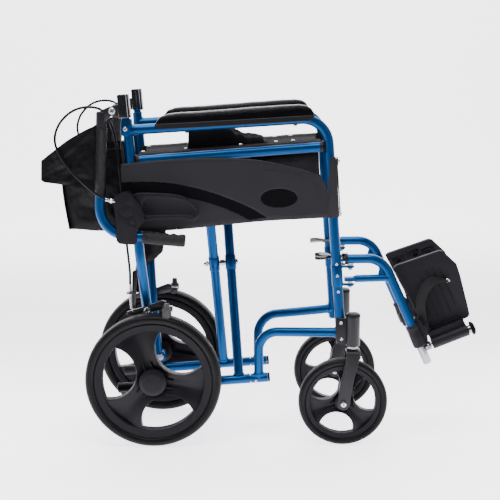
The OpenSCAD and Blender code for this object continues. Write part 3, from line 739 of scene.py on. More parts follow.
def frame_bolts(side):
    shape = Shape()
    tipped = (1, -0.15, 0)
    # head centre, radius, height, axis
    for point, radius, height, axis in (
            ((-47, -128.7, 713), 5.2, 3.0, RIGHT), ((-71, -154.2, 753), 7.5, 3.6, RIGHT),
            ((419, -125.3, 281), 4.4, 3.0, RIGHT), ((420.5, -125.3, 243.5), 4.4, 3.0, RIGHT),
            ((411.5, -125.8, 641), 3.8, 2.4, tipped), ((416.5, -125.8, 527), 3.8, 2.4, tipped),
            ((front_post_x(413), -123.4, 413), 3.4, 2.0, RIGHT),
            ((front_post_x(387), -123.4, 387), 3.4, 2.0, RIGHT),
            ((front_post_x(351), -123.3, 351), 3.4, 2.0, RIGHT),
            ((-14, -91.5, 305), 7.0, 3.2, RIGHT)):
        shape.bolt(point, radius, height, axis)
    # rear axle: hexagon head and shank
    shape.lathe([(0, 0.0), (9, 0.0), (9.3, -0.6), (9.3, -5.4), (8.8, -6), (0, -6)],
                (0, -54.2, AXLE_Z), 6, LEFT)
    shape.lathe([(0, 0.0), (5.8, 0.0), (6, -0.5), (6, -90), (0, -90)], (0, -55, AXLE_Z),
                24, LEFT)
    shape.bolt((229.4, -79.2, 133.6), 3.6, 2.2)
    shape.build(side, "bolts", ZINC, "frame", "frame_hardware", angle=30)


def rail_ends(side):
    """Domed plug at the front, open socket with a rolled lip at the rear."""
    shape = Shape()
    shape.lathe([(0, 5.2), (8.8, 5.0), (10.5, 4.0), (10.9, 2.8), (10.9, 0.2), (0, 0.2)],
                tilted(82, RAIL_Y, 0), 32, ALONG)
    shape.lathe([(9.0, -38), (9.0, 0.6), (9.4, 1.0), (10.4, 1.0), (11.6, 0.4), (11.8, -1),
                 (11.6, -3.0), (11.1, -4), (11.0, -39), (9.3, -39)],
                tilted(-261.4, RAIL_Y, 0), 36, mul(ALONG, -1))
    shape.build(side, "rail_ends", PADBASE, "frame")


both_sides(frame_bolts, rail_ends)

# ------------------------------------------------------------ armrest pads
PAD_STEPS = 60
PAD_TOP = [                  # x, z of the crest
    (17, 716), (19, 728), (27, 738.5), (44, 744.0), (70, 746.6), (113, 748.6), (160, 751.8),
    (210, 755.4), (260, 758.8), (300, 761.2), (326, 761.9), (342, 760), (352, 754.0),
    (357.5, 745)]


def pad_stations(start, end):
    """(index, x), closer together near both ends."""
    return [(i, start + (0.5 - 0.5 * cos(pi * i / PAD_STEPS)) * (end - start))
            for i in range(PAD_STEPS + 1)]


def pad_seam_z(x): return 722.2 + 0.0495 * (x - 16)


def pad_top(side):
    rings = []
    for i, x in pad_stations(17.5, 357.2):
        taper = max(0.0, 1 - ((x - 187) / 171.5) ** 2)
        half = 25.2 * (0.30 + 0.70 * taper ** 0.30) if 0 < i < PAD_STEPS else 12
        seam = pad_seam_z(x)
        lump = 0.7 * noise.noise(Vector((x / 26, side.sign, 0.3)))
        crest = max(seam + 1.4, interp(PAD_TOP, x) + lump)
        ring = []
        for j in range(28):
            turn = pi * j / 27
            y = half * squarish(cos(turn), 0.55)
            z = seam + (crest - seam) * max(0.0, sin(turn)) ** 0.62
            z += 0.35 * noise.noise(Vector((x / 9, y / 9, side.sign * 3.0))) * sin(turn)
            ring.append((x, POST_Y + y, z))
        rings.append(ring)
    Shape().grid(rings).build(side, "pad_top", VINYL, "frame", "armrest_pad", angle=50)


def pad_base(side):
    """Moulded tray with a rolled upper edge, hollow below."""
    rings = []
    for i, x in pad_stations(16, 358.6):
        taper = max(0.0, 1 - ((x - 187.3) / 172.4) ** 2)
        half = 26.0 * (0.32 + 0.68 * taper ** 0.30) if 0 < i < PAD_STEPS else 13.5
        seam = pad_seam_z(x)
        low = seam - 10.5 * ease((x - 14) / 9) * ease((361 - x) / 9) - 0.5
        hollow = (min(12.4, half - 1.4), low + 0.6), (min(11.2, half - 1.6), seam - 2.0)
        right = [(-half + 1.2, low), (-half + 0.2, low + 1.4), (-half, seam - 2.4),
                 (-half, seam - 0.2), (-half + 0.9, seam + 0.9)]
        section = (right + [(0, seam + 1.2)] + [(-y, z) for y, z in reversed(right)]
                   + list(hollow) + [(-y, z) for y, z in reversed(hollow)])
        rings.append([(x, POST_Y + y, z) for y, z in section])
    Shape().grid(rings).build(side, "pad_base", PADBASE, "frame", angle=32)


def pad_screws(side):
    shape = Shape()
    for x in (84, 318):
        shape.bolt((x, POST_Y, 711.4 + 0.0575 * x - 10.8), 4.2, 3.0, axis=(0.05, 0, -1))
    shape.build(side, "pad_screws", BLACK_PAINT, "frame")


both_sides(pad_top, pad_base, pad_screws)

# ------------------------------------------------------------ skirt guard
# all four curves are x, z
GUARD_TOP = rounded([
    (-60, 637.5), (5, 643.5), (69, 648), (123, 649.8), (180, 649.2), (230, 645.5),
    (262, 640), (295, 632), (330, 624), (352, 617), (372, 607), (384, 592), (389, 570),
    (391, 545), (391.5, 518)], 2, False)
GUARD_LOW = rounded([
    (-60, 489), (-32, 489), (44, 491.5), (110, 497), (177, 504), (220, 508), (266, 511.5),
    (320, 514), (360, 515.5), (391.5, 517)], 2, False)
BAND_TOP = rounded([
    (-60, 598), (-20, 599), (20, 599), (62, 594), (102, 585), (140, 574), (178, 560),
    (210, 546), (239, 531), (266, 510)], 2, False)
BAND_LOW = rounded([
    (-60, 572), (-20, 573.5), (20, 573), (46, 570), (87, 563), (120, 555), (156, 544),
    (180, 534), (205, 522), (232, 505)], 2, False)
BELOW_ALL = -1e3


def band_edges(x):
    """Lower and upper z of the sunk band, which runs out at the bottom edge."""
    return (interp(BAND_LOW, x) if x <= 229 else BELOW_ALL,
            interp(BAND_TOP, x) if x <= 262 else BELOW_ALL)


def oval_reach(x, z):
    """1 on the edge of the oval recess."""
    return hypot((x - 282) / 40.0, (z - 561) / 21.0)


def guard_depth(x, z):
    """How far the face lies inside the outermost plane."""
    top, low = interp(GUARD_TOP, x), interp(GUARD_LOW, x)
    depth = 0.35
    # rolled top and bottom edges
    if top - z < 7:
        depth += 2.2 * (1 - (top - z) / 7) ** 2.2
    if z - low < 12:
        depth += 2.0 * (1 - (z - low) / 12) ** 2
    depth += 0.5 * (0.5 + 0.5 * cos((z - low) / max(20, top - low) * pi))
    band_low, band_top = band_edges(x)
    if band_low - 3.5 < z < band_top + 1.5:
        depth += 1.7 * min(ease((band_top + 1.5 - z) / 3.0), ease((z - (band_low - 3.5)) / 4.5))
    reach = oval_reach(x, z)
    if reach < 1.06:
        depth += 1.6 * ease((1.06 - reach) / 0.10)
    # raised field round the oval, ending in a soft step
    if x > 250:
        depth += 0.7 * ease((hypot((x - 250) / 128.0, (z - 560) / 62.0) - 0.96) / 0.10)
    return depth


def guard_panel(side):
    columns, rows = 230, 96
    rings = []
    for i in range(columns + 1):
        x = -59 + i / columns * (391 + 59)
        top, low = interp(GUARD_TOP, x), interp(GUARD_LOW, x)
        heights = [low + (top - low) * j / rows for j in range(rows + 1)]
        rings.append([(x, -126.9 + guard_depth(x, z), z) for z in heights]
                     + [(x, -123.25, z) for z in reversed(heights)])
    obj = Shape().grid(rings).to_object(side, "guard_panel")
    # the outer faces of the recesses take the darker plastic: painted shade that makes the
    # shallow band and oval recess look deep
    for face in obj.data.polygons:
        x, z = face.center.x * 1000 + MID_X, face.center.z * 1000
        band_low, band_top = band_edges(x)
        recessed = band_low - 1.0 < z < band_top - 0.4 or oval_reach(x, z) < 1.0
        if recessed and abs(face.normal.y) > 0.6 and abs(face.center.y) > 0.1239:
            face.material_index = 1
    finish(obj, side, [GUARD, DARK_PLASTIC_AND_RECESS_SHADE], "frame", "skirt_guard", angle=50)


def guard_flange(side):
    """Front edge of the guard, with lips that reach in to the front upright."""
    shape = Shape().prism([
        (389.5, 517), (412, 517.5), (413.4, 522), (409.8, 578), (408, 625), (407, 641),
        (403.5, 650.5), (396.5, 650.5), (392.6, 645), (391, 612), (388.5, 600)],
        -126.4, -123.2)
    axes = ((0.068, 0, -1), LEFT, (1, 0, 0.068))
    shape.box((408.8, -119, 640), axes, (9, 6, 1.0))
    shape.box((415.0, -119, 530), axes, (10, 6, 1.0))
    shape.box((411.6, -118.5, 584), ((0.0682, 0, -0.9977), LEFT, (0.9977, 0, 0.0682)),
              (64, 7, 0.9))
    shape.build(side, "guard_flange", GUARD, "frame", bevel=0.8, segments=3)


both_sides(guard_panel, guard_flange)

# ------------------------------------------------------------ caster housing and fork
STEM = (445.5, CASTER_Y, 0)  # foot of the caster's upright axis


def caster_housing(side):
    Shape().lathe([
        (0, 304.6), (6, 304.4), (12, 303.2), (15, 301), (16.2, 298), (16.3, 294.5),
        (15.6, 294), (15.5, 293.6), (15.5, 230), (15.0, 228.8), (11.5, 228.6), (0, 228.6)],
        STEM, 48, UP).build(side, "caster_housing", FORK, "frame", "caster_mount", angle=30)


def caster_bracket(side):
    shape = Shape()
    shape.prism([(409.3, 232.5), (430.5, 231.2), (434, 236), (434, 287), (430, 291),
                 (407.5, 291), (406.8, 262)], -125.2, -119.6)
    shape.prism([(424.5, 233), (434, 233), (434, 290), (422, 290)], -119.7, -101.5)
    shape.build(side, "caster_bracket", FORK, "frame", bevel=1.2, segments=3)


def fork_hardware(side):
    shape = Shape()
    shape.lathe([(0, 228.4), (10.8, 228.4), (11, 228.0), (11, 226.2), (10.2, 225.9),
                 (0, 225.9)], STEM, 32, UP)
    shape.lathe([(0, 225.9), (12.4, 225.9), (12.6, 225.5), (12.6, 223.4), (12, 223),
                 (0, 223)], STEM, 6, UP)
    shape.bolt((424, -149.4, 100), 6.6, 2.2)
    shape.bolt((424, -98.6, 100), 6.6, 2.0, axis=LEFT)
    shape.build(side, "fork_hardware", ZINC, "fork", "caster_fork", angle=30)


def fork_blades(side):
    shape = Shape()
    # crown: an arched saddle with rounded shoulders
    arch = []
    for i in range(13):
        turn = pi * i / 12
        z = 208 + 13.5 * sin(turn) ** 0.5 if 0 < i < 12 else 205
        arch.append((-22 * cos(turn), z))
    arch += [(y * 0.80, z - 4.6) for y, z in reversed(arch)]
    rings = []
    for i in range(9):
        inset = 1.2 if i in (0, 8) else 0
        rings.append([(430.5 + 31 * i / 8, CASTER_Y + y * (1 - inset * 0.02), z - inset * 0.4)
                      for y, z in arch])
    shape.grid(rings)
    # tapering blades with round ends at the axle
    outline = [(431.0, 216), (460.5, 216), (459.5, 205), (446, 150), (438.5, 100)]
    for i in range(1, 12):
        turn = -pi * i / 12
        outline.append((424 + 14.3 * cos(turn), 99 + 14.3 * sin(turn)))
    outline += [(410, 100), (417.5, 150), (429.5, 205)]
    for way in (-1, 1):
        shape.prism(outline, CASTER_Y + way * 17.4, CASTER_Y + way * 22.0)
    shape.build(side, "fork_blades", FORK, "fork", bevel=1.3, segments=3)


# thin near-black discs on the fork blade and in the axle bolt's socket: painted shade standing
# for a hole and a hex socket
def fork_hole(side):
    shape = Shape()
    shape.lathe(disc(2.6, 0.25, -0.5), (430.5, -146.1, 118), 20)
    shape.lathe(disc(1.7, 0.2, -0.3), (424, -150.2, 100), 6)
    shape.build(side, "fork_hole", HOLE_SHADE, "fork")


both_sides(caster_housing, caster_bracket, fork_hardware, fork_blades, fork_hole)


# ------------------------------------------------------------ brake arm
def brake_bar(side):
    shape = Shape()
    shape.prism([(-59.5, 294), (-54, 290.5), (-14, 298), (26, 305.5), (30, 314), (29, 324),
                 (20, 326.5), (-12, 314.5), (-52, 303.5), (-59.5, 300.5)], -90.2, -85)
    shape.prism([(21, 304), (44, 304), (44, 315), (21, 316)], -104, -88)
    shape.build(side, "brake_bar", BLACK_PAINT, "arm", "brake_arm", bevel=1.0, segments=3)


def brake_shoe(side):
    """Ribbed stem and the ribbed shoe above the rear tyre."""
    shape = Shape()
    shape.tube(dense([(33, -100, 305), (33, -141.5, 305)], 3.0),
               lambda _, i: 8.2 + (0.7 if i % 2 else 0.0), 28)
    ribs = []
    for j, turn in enumerate(turns(72)):
        radius = 9.6 + (0.8 if j % 4 < 2 else 0.0)
        ribs.append((radius * cos(turn), radius * sin(turn)))
    tread = AXLE_Z + 2.4     # the shoe's underside follows this radius
    rings = []
    for z, size in ((296.8, 0.62), (299, 0.86), (301.5, 0.97), (304, 1.0), (314, 1.0),
                    (317, 0.95), (318, 0.72), (319, 0.62), (328, 0.60), (329.6, 0.5)):
        ring = []
        for across, y in ribs:
            x = 33.5 + across * size
            ring.append((x, -132 + y * size,
                         max(z, AXLE_Z + sqrt(max(0, tread ** 2 - x ** 2)))))
        rings.append(ring)
    shape.grid(rings).build(side, "brake_shoe", SHOE, "arm", angle=35)


both_sides(brake_bar, brake_shoe)

# ------------------------------------------------------------ canes, grips, brake levers
CANE_TOP = (-94.8, CANE_Y, 750.0)
CANE_BEND = (-108.0, CANE_Y, 489.0)
CANE_TIP = (74.0, CANE_Y, 471.4)
CANE_DOWN = unit(sub(CANE_BEND, CANE_TOP))
CANE_AHEAD = unit(sub(CANE_TIP, CANE_BEND))


def cane_tube(side):
    path = bent([CANE_TOP, CANE_BEND, CANE_TIP], 61, 6)
    Shape().tube(path, TUBE, 32).build(side, "cane_tube", BLUE, "cane", "back_cane", angle=40)


def cane_plug(side):
    path = [shift(CANE_TOP, CANE_DOWN, d) for d in (-0.6, 1.2, 35.2, 36.0)]
    Shape().tube(path, (9.8, 11.6, 11.6, 11.2), 32).build(side, "cane_plug", PADBASE, "cane",
                                                          angle=40)


def cane_ear(side):
    outline = [(-102.0, 729), (-102.0, 750), (-88, 757.5), (-78, 762), (-69, 762.5),
               (-62.5, 757), (-61.8, 749), (-66, 744), (-76, 741), (-87, 729)]
    Shape().prism(rounded(outline, 2), -148.6, -131.4).build(
        side, "cane_ear", BLACK_PAINT, "cane", bevel=1.2, segments=3)


def hand_grip(side):
    """Grip with finger scallops on its upper side."""
    length, full = 93.5, 13.9
    over = (-CANE_AHEAD[2], 0, CANE_AHEAD[0])
    rings = []
    for i in range(95):
        d = length * i / 94
        centre = shift((-15, CANE_Y, 480.0), CANE_AHEAD, d)
        base = full
        if d < 3.2:
            base = 12.2 + 1.4 * ease(d / 3.2)
        if 4.5 < d < 6.5 or 9.5 < d < 11.5:
            base -= 0.9
        if d > length - 4:
            base = full - 2.6 * ((d - length + 4) / 4) ** 2
        ring = []
        for turn in turns(40):
            radius = base
            if 15 < d < length - 5:
                wave = 0.5 - 0.5 * cos((d - 15) / 17.5 * 2 * pi)
                radius -= 2.3 * wave * max(0.0, cos(turn)) ** 1.5
                radius += 0.25 * sin(d * 2.0) * max(0.0, -cos(turn))
            ring.append(add(centre, add(mul(over, radius * cos(turn)),
                                        (0, radius * sin(turn), 0))))
        rings.append(ring)
    Shape().grid(rings).build(side, "hand_grip", GRIP, "cane", "grip", angle=40)


def brake_housing(side):
    outline = rounded([
        (-44, 580.5), (-58, 577.5), (-77.5, 567), (-75, 552), (-72, 538), (-69, 512),
        (-71.5, 479), (-66, 467.5), (-50, 466.2), (-29, 465.5), (-25.5, 472), (-25.2, 488),
        (-25.5, 498), (-14, 509), (-7.5, 520), (-10, 534), (-16.5, 549), (-26, 562),
        (-34, 573)], 2)
    obj = Shape().prism(outline, -152.5, -127.6).to_object(side, "housing_shell")
    slot = [(-30.5, 605), (-34, 573), (-29, 560), (-16, 548), (-2, 548), (30, 548), (30, 605)]
    carve(obj, side, Shape().prism(slot, -145.6, -134.4), shaded=False)
    # fine oval groove on the outer face
    rings = []
    for turn in turns(48):
        (far_x, far_z), (near_x, near_z) = (
            (-46 + a * cos(turn), 539 + b * sin(turn)) for a, b in ((17.2, 13.4), (16.4, 12.6)))
        rings.append([(far_x, -153.5, far_z), (far_x, -151.9, far_z),
                      (near_x, -151.9, near_z), (near_x, -153.5, near_z)])
    carve(obj, side, Shape().grid(rings, loop=True))
    carve(obj, side, Shape().lathe(disc(5.4, 4, -1.7), (-34.5, -152.5, 512), 32))
    shade(obj)
    round_edges(obj, 1.5, 3, limit=50)
    finish(obj, side, [PLASTIC], "cane", "brake_housing", angle=40)


# near-black disc at the bottom of the housing's screw hole: painted shade in the hole
def housing_screw(side):
    Shape().lathe(disc(4.4, 0, -1.4), (-34.5, -151.2, 512), 24).build(
        side, "housing_screw", HOLE_SHADE, "cane")


def cable_adjuster(side):
    shape = Shape()
    shape.tube(dense([(-66, -146.6, 558.1), (-91, -154.6, 564.9)], 2.2),
               lambda _, i: 4.0 + (0.5 if i % 2 else -0.1), 20)
    shape.bolt((-79, -150.8, 561.6), 5.6, 4.2, axis=(-0.922, -0.298, 0.248), segments=6)
    shape.build(side, "adjuster", ZINC, "cane")


# lever loop, x, z: outline and opening
LEVER_OUTER = [
    (-38, 512), (-33, 503), (-26, 504.5), (-6, 516.5), (20, 519.0), (50, 520.5), (76, 521.8),
    (84, 517.2), (92, 515), (101, 517.2), (108, 524.5), (110.8, 533), (108.5, 542),
    (101, 551.5), (88, 562.5), (68, 571.5), (40, 575.5), (0, 577.3), (-26, 577.5), (-33, 572),
    (-38, 545)]
LEVER_INNER = [
    (-10, 527), (20, 528.2), (60, 528.5), (82, 528.0), (92, 524.6), (99.5, 528.5),
    (102.2, 536), (98, 545), (89, 554.5), (72, 561.2), (34, 565), (0, 565.5), (-10, 560),
    (-13.5, 545)]
LEVER_MIDDLE = (40, 546)


def resample(outline, count):
    """Evenly spaced points round a closed outline."""
    ends = outline[1:] + outline[:1]
    reach = [0]
    for a, b in zip(outline, ends):
        reach.append(reach[-1] + dist(a, b))
    points = []
    for i in range(count):
        goal = reach[-1] * i / count
        for j, (a, b) in enumerate(zip(outline, ends)):
            if reach[j] <= goal <= reach[j + 1]:
                part = (goal - reach[j]) / max(1e-9, reach[j + 1] - reach[j])
                points.append((a[0] + (b[0] - a[0]) * part, a[1] + (b[1] - a[1]) * part))
                break
    return points


def lever_loop(side):
    outer, inner = (resample(rounded(edge, 2), 720) for edge in (LEVER_OUTER, LEVER_INNER))

    def nearest(points, angle):
        """The point seen from the middle at about this angle."""
        return min(points, key=lambda p: abs(remainder(
            atan2(p[1] - LEVER_MIDDLE[1], p[0] - LEVER_MIDDLE[0]) - angle, 2 * pi)))

    rings = []
    for around in turns(120):
        # the angle is stretched so that each pair lies nearly square to the band
        angle = atan2(sin(around) * 26, cos(around) * 60)
        far, near = nearest(outer, angle), nearest(inner, angle)
        width = dist(far, near)
        out = ((far[0] - near[0]) / width, (far[1] - near[1]) / width)
        middle = ((far[0] + near[0]) / 2, (far[1] + near[1]) / 2)
        ring = []
        for turn in turns(16):
            reach = squarish(cos(turn), 0.6) * width / 2
            y = squarish(sin(turn), 0.6) * 3.9
            ring.append((middle[0] + out[0] * reach, -140.2 - y, middle[1] + out[1] * reach))
        rings.append(ring)
    Shape().grid(rings, loop=True).build(side, "lever_loop", PLASTIC, "lever", "brake_lever",
                                         angle=60)


both_sides(cane_tube, cane_plug, cane_ear, hand_grip, brake_housing, housing_screw,
           cable_adjuster, lever_loop)

# ------------------------------------------------------------ brake cable and its spring
CABLE_PATH = [
    (-90.5, -154.6, 564.8), (-104, -156.3, 572), (-120, -157, 585), (-150, -157, 613),
    (-168, -156.5, 634), (-188, -156, 665), (-195, -155, 690), (-192, -153, 710),
    (-183, -150, 729), (-166, -147, 747), (-148, -143, 757.0), (-130, -139, 761),
    (-110, -135, 760.5), (-93, -129, 753), (-84, -123, 739), (-76.5, -121, 719),
    (-69.5, -120.5, 694), (-64.5, -120, 650), (-61, -119, 598), (-57, -118, 540),
    (-53, -115, 468), (-49.5, -108, 420), (-48.5, -100, 392), (-49.5, -96, 366)]


def brake_cable(side):
    """Brake cable from the housing on the cane down to the frame, baked in place and attached to
    no body.
    """
    obj = Shape().tube(rounded(CABLE_PATH, 2, False), 2.75, 14).to_object(side, "cable")
    finish(obj, side, [CABLE], None, "brake_cable", angle=60)
    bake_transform(obj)


def return_spring(side):
    coil = []
    for i in range(330):
        part = i / 329
        turn = part * 2 * pi * 13
        coil.append((-49 + 3 * part + 4.2 * cos(turn), -93 + 4.2 * sin(turn),
                     345 - 36 * part))
    Shape().tube(coil, 0.75, 8).build(side, "return_spring", ZINC, "frame", angle=60)


def cable_end(side):
    shape = Shape().tube([(-49.5, -95.5, 372), (-49.5, -95.5, 345)], 3.0, 16)
    shape.tube([(-49, -93.5, 346), (-46, -92.5, 303)], 0.9, 10)
    shape.build(side, "cable_end", ZINC, "frame")


both_sides(brake_cable, return_spring, cable_end)


# ------------------------------------------------------------ cane bracket and cable stop
def cane_channel(side):
    """Rolled channel, open to the rear."""
    arc = [(cos(turn), sin(turn)) for turn in (-pi / 2 + pi * i / 14 for i in range(15))]
    section = ([(-11, -13.5)] + [(x * 13.6 + 0.2, y * 13.5) for x, y in arc] + [(-11, 13.5)]
               + [(-11, 12.0)] + [(x * 12.2, y * 12.0) for x, y in reversed(arc)]
               + [(-11, -12.0)])
    rings = []
    for above in (-14.6, -14, -10, 0, 12, 24, 33.5, 35):
        narrow = 0.993 if above in (-14.6, 35) else 1
        rings.append([add((-47.0, CANE_Y, 752.0),
                          add(mul(ALONG, x), add((0, y * narrow, 0), mul(ABOVE, above))))
                      for x, y in section])
    Shape().grid(rings).build(side, "cane_channel", STREAK, "frame", "post_brackets",
                              angle=40, bevel=0.5)


def cane_ears(side):
    ear = rounded([(-58, 738.5), (-58, 767), (-64, 765), (-77, 762), (-80.5, 753),
                   (-76, 745), (-66, 738)], 2)
    Shape().prism(ear, -153.9, -151.6).prism(ear, -128.4, -126.2).build(
        side, "cane_ears", BLACK_PAINT, "frame", bevel=0.7)


def cane_tail(side):
    """Bracket tail that is bolted to the upright."""
    shape = Shape()
    shape.prism(rounded([(-55, 741), (-35, 741), (-35.5, 704), (-40, 697), (-52, 696.5),
                         (-57.5, 703)], 2), -128.4, -126.0)
    shape.prism([(-54, 740), (-38, 740), (-39, 700), (-54, 700)], -126.3, -121.5)
    shape.build(side, "cane_tail", BLUE, "frame", bevel=0.7)


def cable_stop(side):
    shape = Shape()
    shape.prism([(-45.5, 312), (-38.5, 312), (-36.5, 345), (-32.5, 396), (-38, 398.5),
                 (-43, 396), (-45.5, 350)], -103, -100.6)
    shape.prism([(-57.5, 345.2), (-36, 345.2), (-36, 348.4), (-57.5, 348.4)], -105.5, -86.5)
    shape.prism([(-45.5, 312), (-42.5, 312), (-39.5, 396), (-42.5, 396)], -103, -90)
    shape.build(side, "cable_stop", BLACK_PAINT, "frame", bevel=0.5)


both_sides(cane_channel, cane_ears, cane_tail, cable_stop)


# ------------------------------------------------------------ braces
def brace(name, replaces, along, foot_side):
    """Brace from a lower rail up to the other side's seat rail; foot_side 1 is right."""
    body = name + "_brace"
    foot = tilted(along, RAIL_Y * foot_side, 0)
    head = tilted(along, -RAIL_Y * foot_side, RAIL_GAP)
    way = unit(sub(head, foot))
    shape = Shape().tube([shift(foot, way, 9), shift(head, way, -9)], TUBE, 32)
    for end, above, inset in ((foot, 0, 11.5), (head, RAIL_GAP, -11.5)):
        shape.lathe([(7.08, -45.8), (7.08, 41.8), (10.6, 41.8), (11, 41.3), (11, -45.3),
                     (10.6, -45.8)], tilted(0, end[1], above), 36, ALONG, up=LEFT)
        shape.weld(shift(end, way, inset), way, 10.9, 1.8)
    shape.build(CENTRE, body + "_tube", BLUE, body, replaces, angle=40)
    Shape().lathe([(11.05, -17), (11.05, 17), (12.2, 17), (12.7, 16.4), (12.7, -16.4),
                   (12.2, -17)], tilted(along, 0, RAIL_GAP / 2), 36, way).build(
        CENTRE, body + "_collar", BLUE, body, angle=40)


def brace_bolt():
    """Bolt through the crossing of the braces, with its nut, shank and spacer."""
    shape = Shape().bolt(tilted(30.5, 0, RAIL_GAP / 2), 6.6, 3.2, axis=ALONG)
    crossing = tilted(0, 0, RAIL_GAP / 2)
    shape.lathe(disc(6.9, 0, -4, (0.4, 0.5)), tilted(-36.2, 0, RAIL_GAP / 2), 6, ALONG, LEFT)
    shape.lathe([(0, 33), (3.9, 33), (3.9, -46), (0, -46)], crossing, 20, ALONG, LEFT)
    shape.lathe(disc(7.5, 2.5, -8.0), crossing, 28, ALONG, LEFT)
    shape.build(CENTRE, "brace_bolt_set", ZINC, "right_brace", "brace_bolt")


brace("right", "brace_right", 16, 1)
brace("left", "brace_left", -22, -1)
brace_bolt()


# ------------------------------------------------------------ seat rails
def rail_tube(side):
    shape = Shape().tube([tilted(-165.3, POST_Y, RAIL_GAP), tilted(238.5, POST_Y, RAIL_GAP)],
                         TUBE, 32)
    for along in (-50.5, 44.5):
        shape.box(tilted(along + 2, -90, RAIL_GAP), (ALONG, LEFT, ABOVE), (2, 22, 8.5))
        shape.lathe(disc(9.6, 4.2, -0.4, (0.4, 0.4)), tilted(along, RAIL_Y, RAIL_GAP), 32,
                    ALONG, LEFT)
    shape.tube([tilted(-50, RAIL_Y, RAIL_GAP), tilted(47, RAIL_Y, RAIL_GAP)], 7, 24)
    shape.build(side, "rail_tube", BLUE, "rail", "seat_rail", angle=40)


def guide_caps(side):
    """Curved cap at each end of the rail, hugging the upright, and its plug."""
    shape = Shape()
    for along, way in ((REAR_POST, 1), (251.7, -1)):
        arc = []
        for i in range(13):
            turn = -0.80 + (pi / 2 + 0.80) * i / 12
            arc.append((cos(turn) * way, sin(turn)))
        section = ([(14.6 * x, 14.6 * y) for x, y in arc]
                   + [(11.35 * x, 11.35 * y) for x, y in reversed(arc)])
        rings = []
        for above in (-12, -11.2, 11.2, 12):
            shrink = 0.985 if abs(above) == 12 else 1.0
            ring = []
            for point in section:
                x, y = (value * (shrink if abs(value) > 12 else 1) for value in point)
                ring.append(add(tilted(along, POST_Y, RAIL_GAP + above),
                                add(mul(ALONG, x), (0, y, 0))))
            rings.append(ring)
        shape.grid(rings)
        shape.lathe([(0, 0), (10.7, 0), (11.06, -0.5), (11.06, -7.4), (10.7, -8), (0, -8)],
                    tilted(along + way * 12.9, POST_Y, RAIL_GAP), 28, mul(ALONG, -way), LEFT)
    shape.build(side, "guide_caps", PADBASE, "rail", "rail_guides", angle=40)


both_sides(rail_tube, guide_caps)


# ------------------------------------------------------------ seat cloth
def cloth(side, part, surface, columns, rows, body, replaces=None, material=NYLON,
          thick=1.5, seed=0.0, ripple=1.0):
    """Closed sheet over surface(u, v), each 0 to 1, rippled by noise away from its edges."""
    points = [[surface(i / columns, j / rows) for j in range(rows + 1)]
              for i in range(columns + 1)]
    rings = []
    for i in range(columns + 1):
        front, back = [], []
        for j in range(rows + 1):
            x, y, z = points[i][j]
            normal = unit(cross(
                sub(points[min(columns, i + 1)][j], points[max(0, i - 1)][j]),
                sub(points[i][min(rows, j + 1)], points[i][max(0, j - 1)])))
            spot = Vector((x / 42.0, y / 42.0 + seed, z / 42.0))
            wave = (1.3 * noise.noise(spot) + 0.55 * noise.noise(spot * 2.3)
                    + 0.25 * noise.noise(spot * 5.1))
            u, v = i / columns, j / rows
            fade = min(1.0, 8 * min(u, 1 - u)) * min(1.0, 6 * min(v, 1 - v))
            point = shift(points[i][j], normal, wave * ripple * 1.6 * fade)
            front.append(point)
            back.append(shift(point, normal, -thick))
        rings.append(front + back[::-1])
    obj = Shape().grid(rings).to_object(side, part)
    return finish(obj, side, [material], body, replaces, angle=60)


SEAT_TOP = RAIL_GAP + 11.4   # cloth level, above the lower rail
SEAT_DROP = 177.0            # hanging length of each half
SEAT_ANGLE = acos(56 / 177.35)


def hem_surface(fore, inward):
    """Flat strip on the seat rail."""
    along = -163 + 399 * fore
    above = (SEAT_TOP + 1.5 - 1.6 * ease((0.12 - inward) / 0.12)
             + 0.5 * sin(along / 13.0) * (1 - inward) ** 3)
    return tilted(along, -114.5 + 57.5 * inward, above)


def hanging_surface(fore, down):
    """Half of the seat, hanging from its rail to the middle."""
    along = -160 + 392 * fore
    length = 176.0 * down
    y = (-56.8 + SEAT_DROP * down * cos(SEAT_ANGLE)
         + 9 * exp(-((length - 14) / 16.0) ** 2) * ease(length / 12.0))
    fold = 3.4 * sin(along / 24.0 + 2.2 * down) * down
    y = min(-0.9, y + fold * 0.5 - 2.0 * down)
    return tilted(along, y, SEAT_TOP + 1.0 - SEAT_DROP * down * sin(SEAT_ANGLE))


def seat_hem(side):
    cloth(side, "seat_hem", hem_surface, 60, 16, "rail", "seat_edge", material=NYLON_SEAT,
          thick=1.7, seed=side.sign * 2.0, ripple=0.35)


def seat_sheet(side):
    cloth(side, "seat_sheet", hanging_surface, 110, 60, "seat", "seat_panel",
          seed=3.0 + side.sign, ripple=0.9)


both_sides(seat_hem, seat_sheet)

HUMP = [                     # along the rail, rise
    (-64, 0.6), (-57, 1.5), (-52, 38), (-44, 47), (-20, 45), (0, 48), (20, 45), (34, 36),
    (54, 22), (74, 14.5), (104, 11), (110, 9), (115, 1.2), (121, 0.6)]


def hump_surface(fore, left):
    """Seat cloth that the braces push up between the rails."""
    along = HUMP[0][0] + (HUMP[-1][0] - HUMP[0][0]) * fore
    rise = interp(HUMP, along, shape=ease)
    bell = min(1.0, sin(pi * left) / 0.24) ** 0.7
    crease = (3.2 * sin(13 * fore + 6 * left) * sin(pi * left)
              + 2.0 * sin(31 * fore - 13 * left) + 1.2 * sin(53 * fore + 21 * left))
    return tilted(along, -57 + 114 * left,
                  SEAT_TOP + 2.4 + rise * bell + crease * min(1, rise / 26) * bell)


def seat_hump():
    """The hump of seat cloth between the rails, attached to the right rail with its own copy of
    its mesh.
    """
    obj = cloth(CENTRE, "seat_lift_fold", hump_surface, 140, 70, "right_rail",
                material=NYLON_SEAT, seed=7.7)
    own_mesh(obj)


def seat_screws(side):
    shape = Shape()
    for along in (-155, -60, 60, 139, 176):
        shape.bolt(tilted(along, -66, SEAT_TOP + 1.6), 4.4, 3.2, axis=ABOVE, segments=20)
    shape.build(side, "seat_screws", ZINC, "rail")


seat_hump()
both_sides(seat_screws)

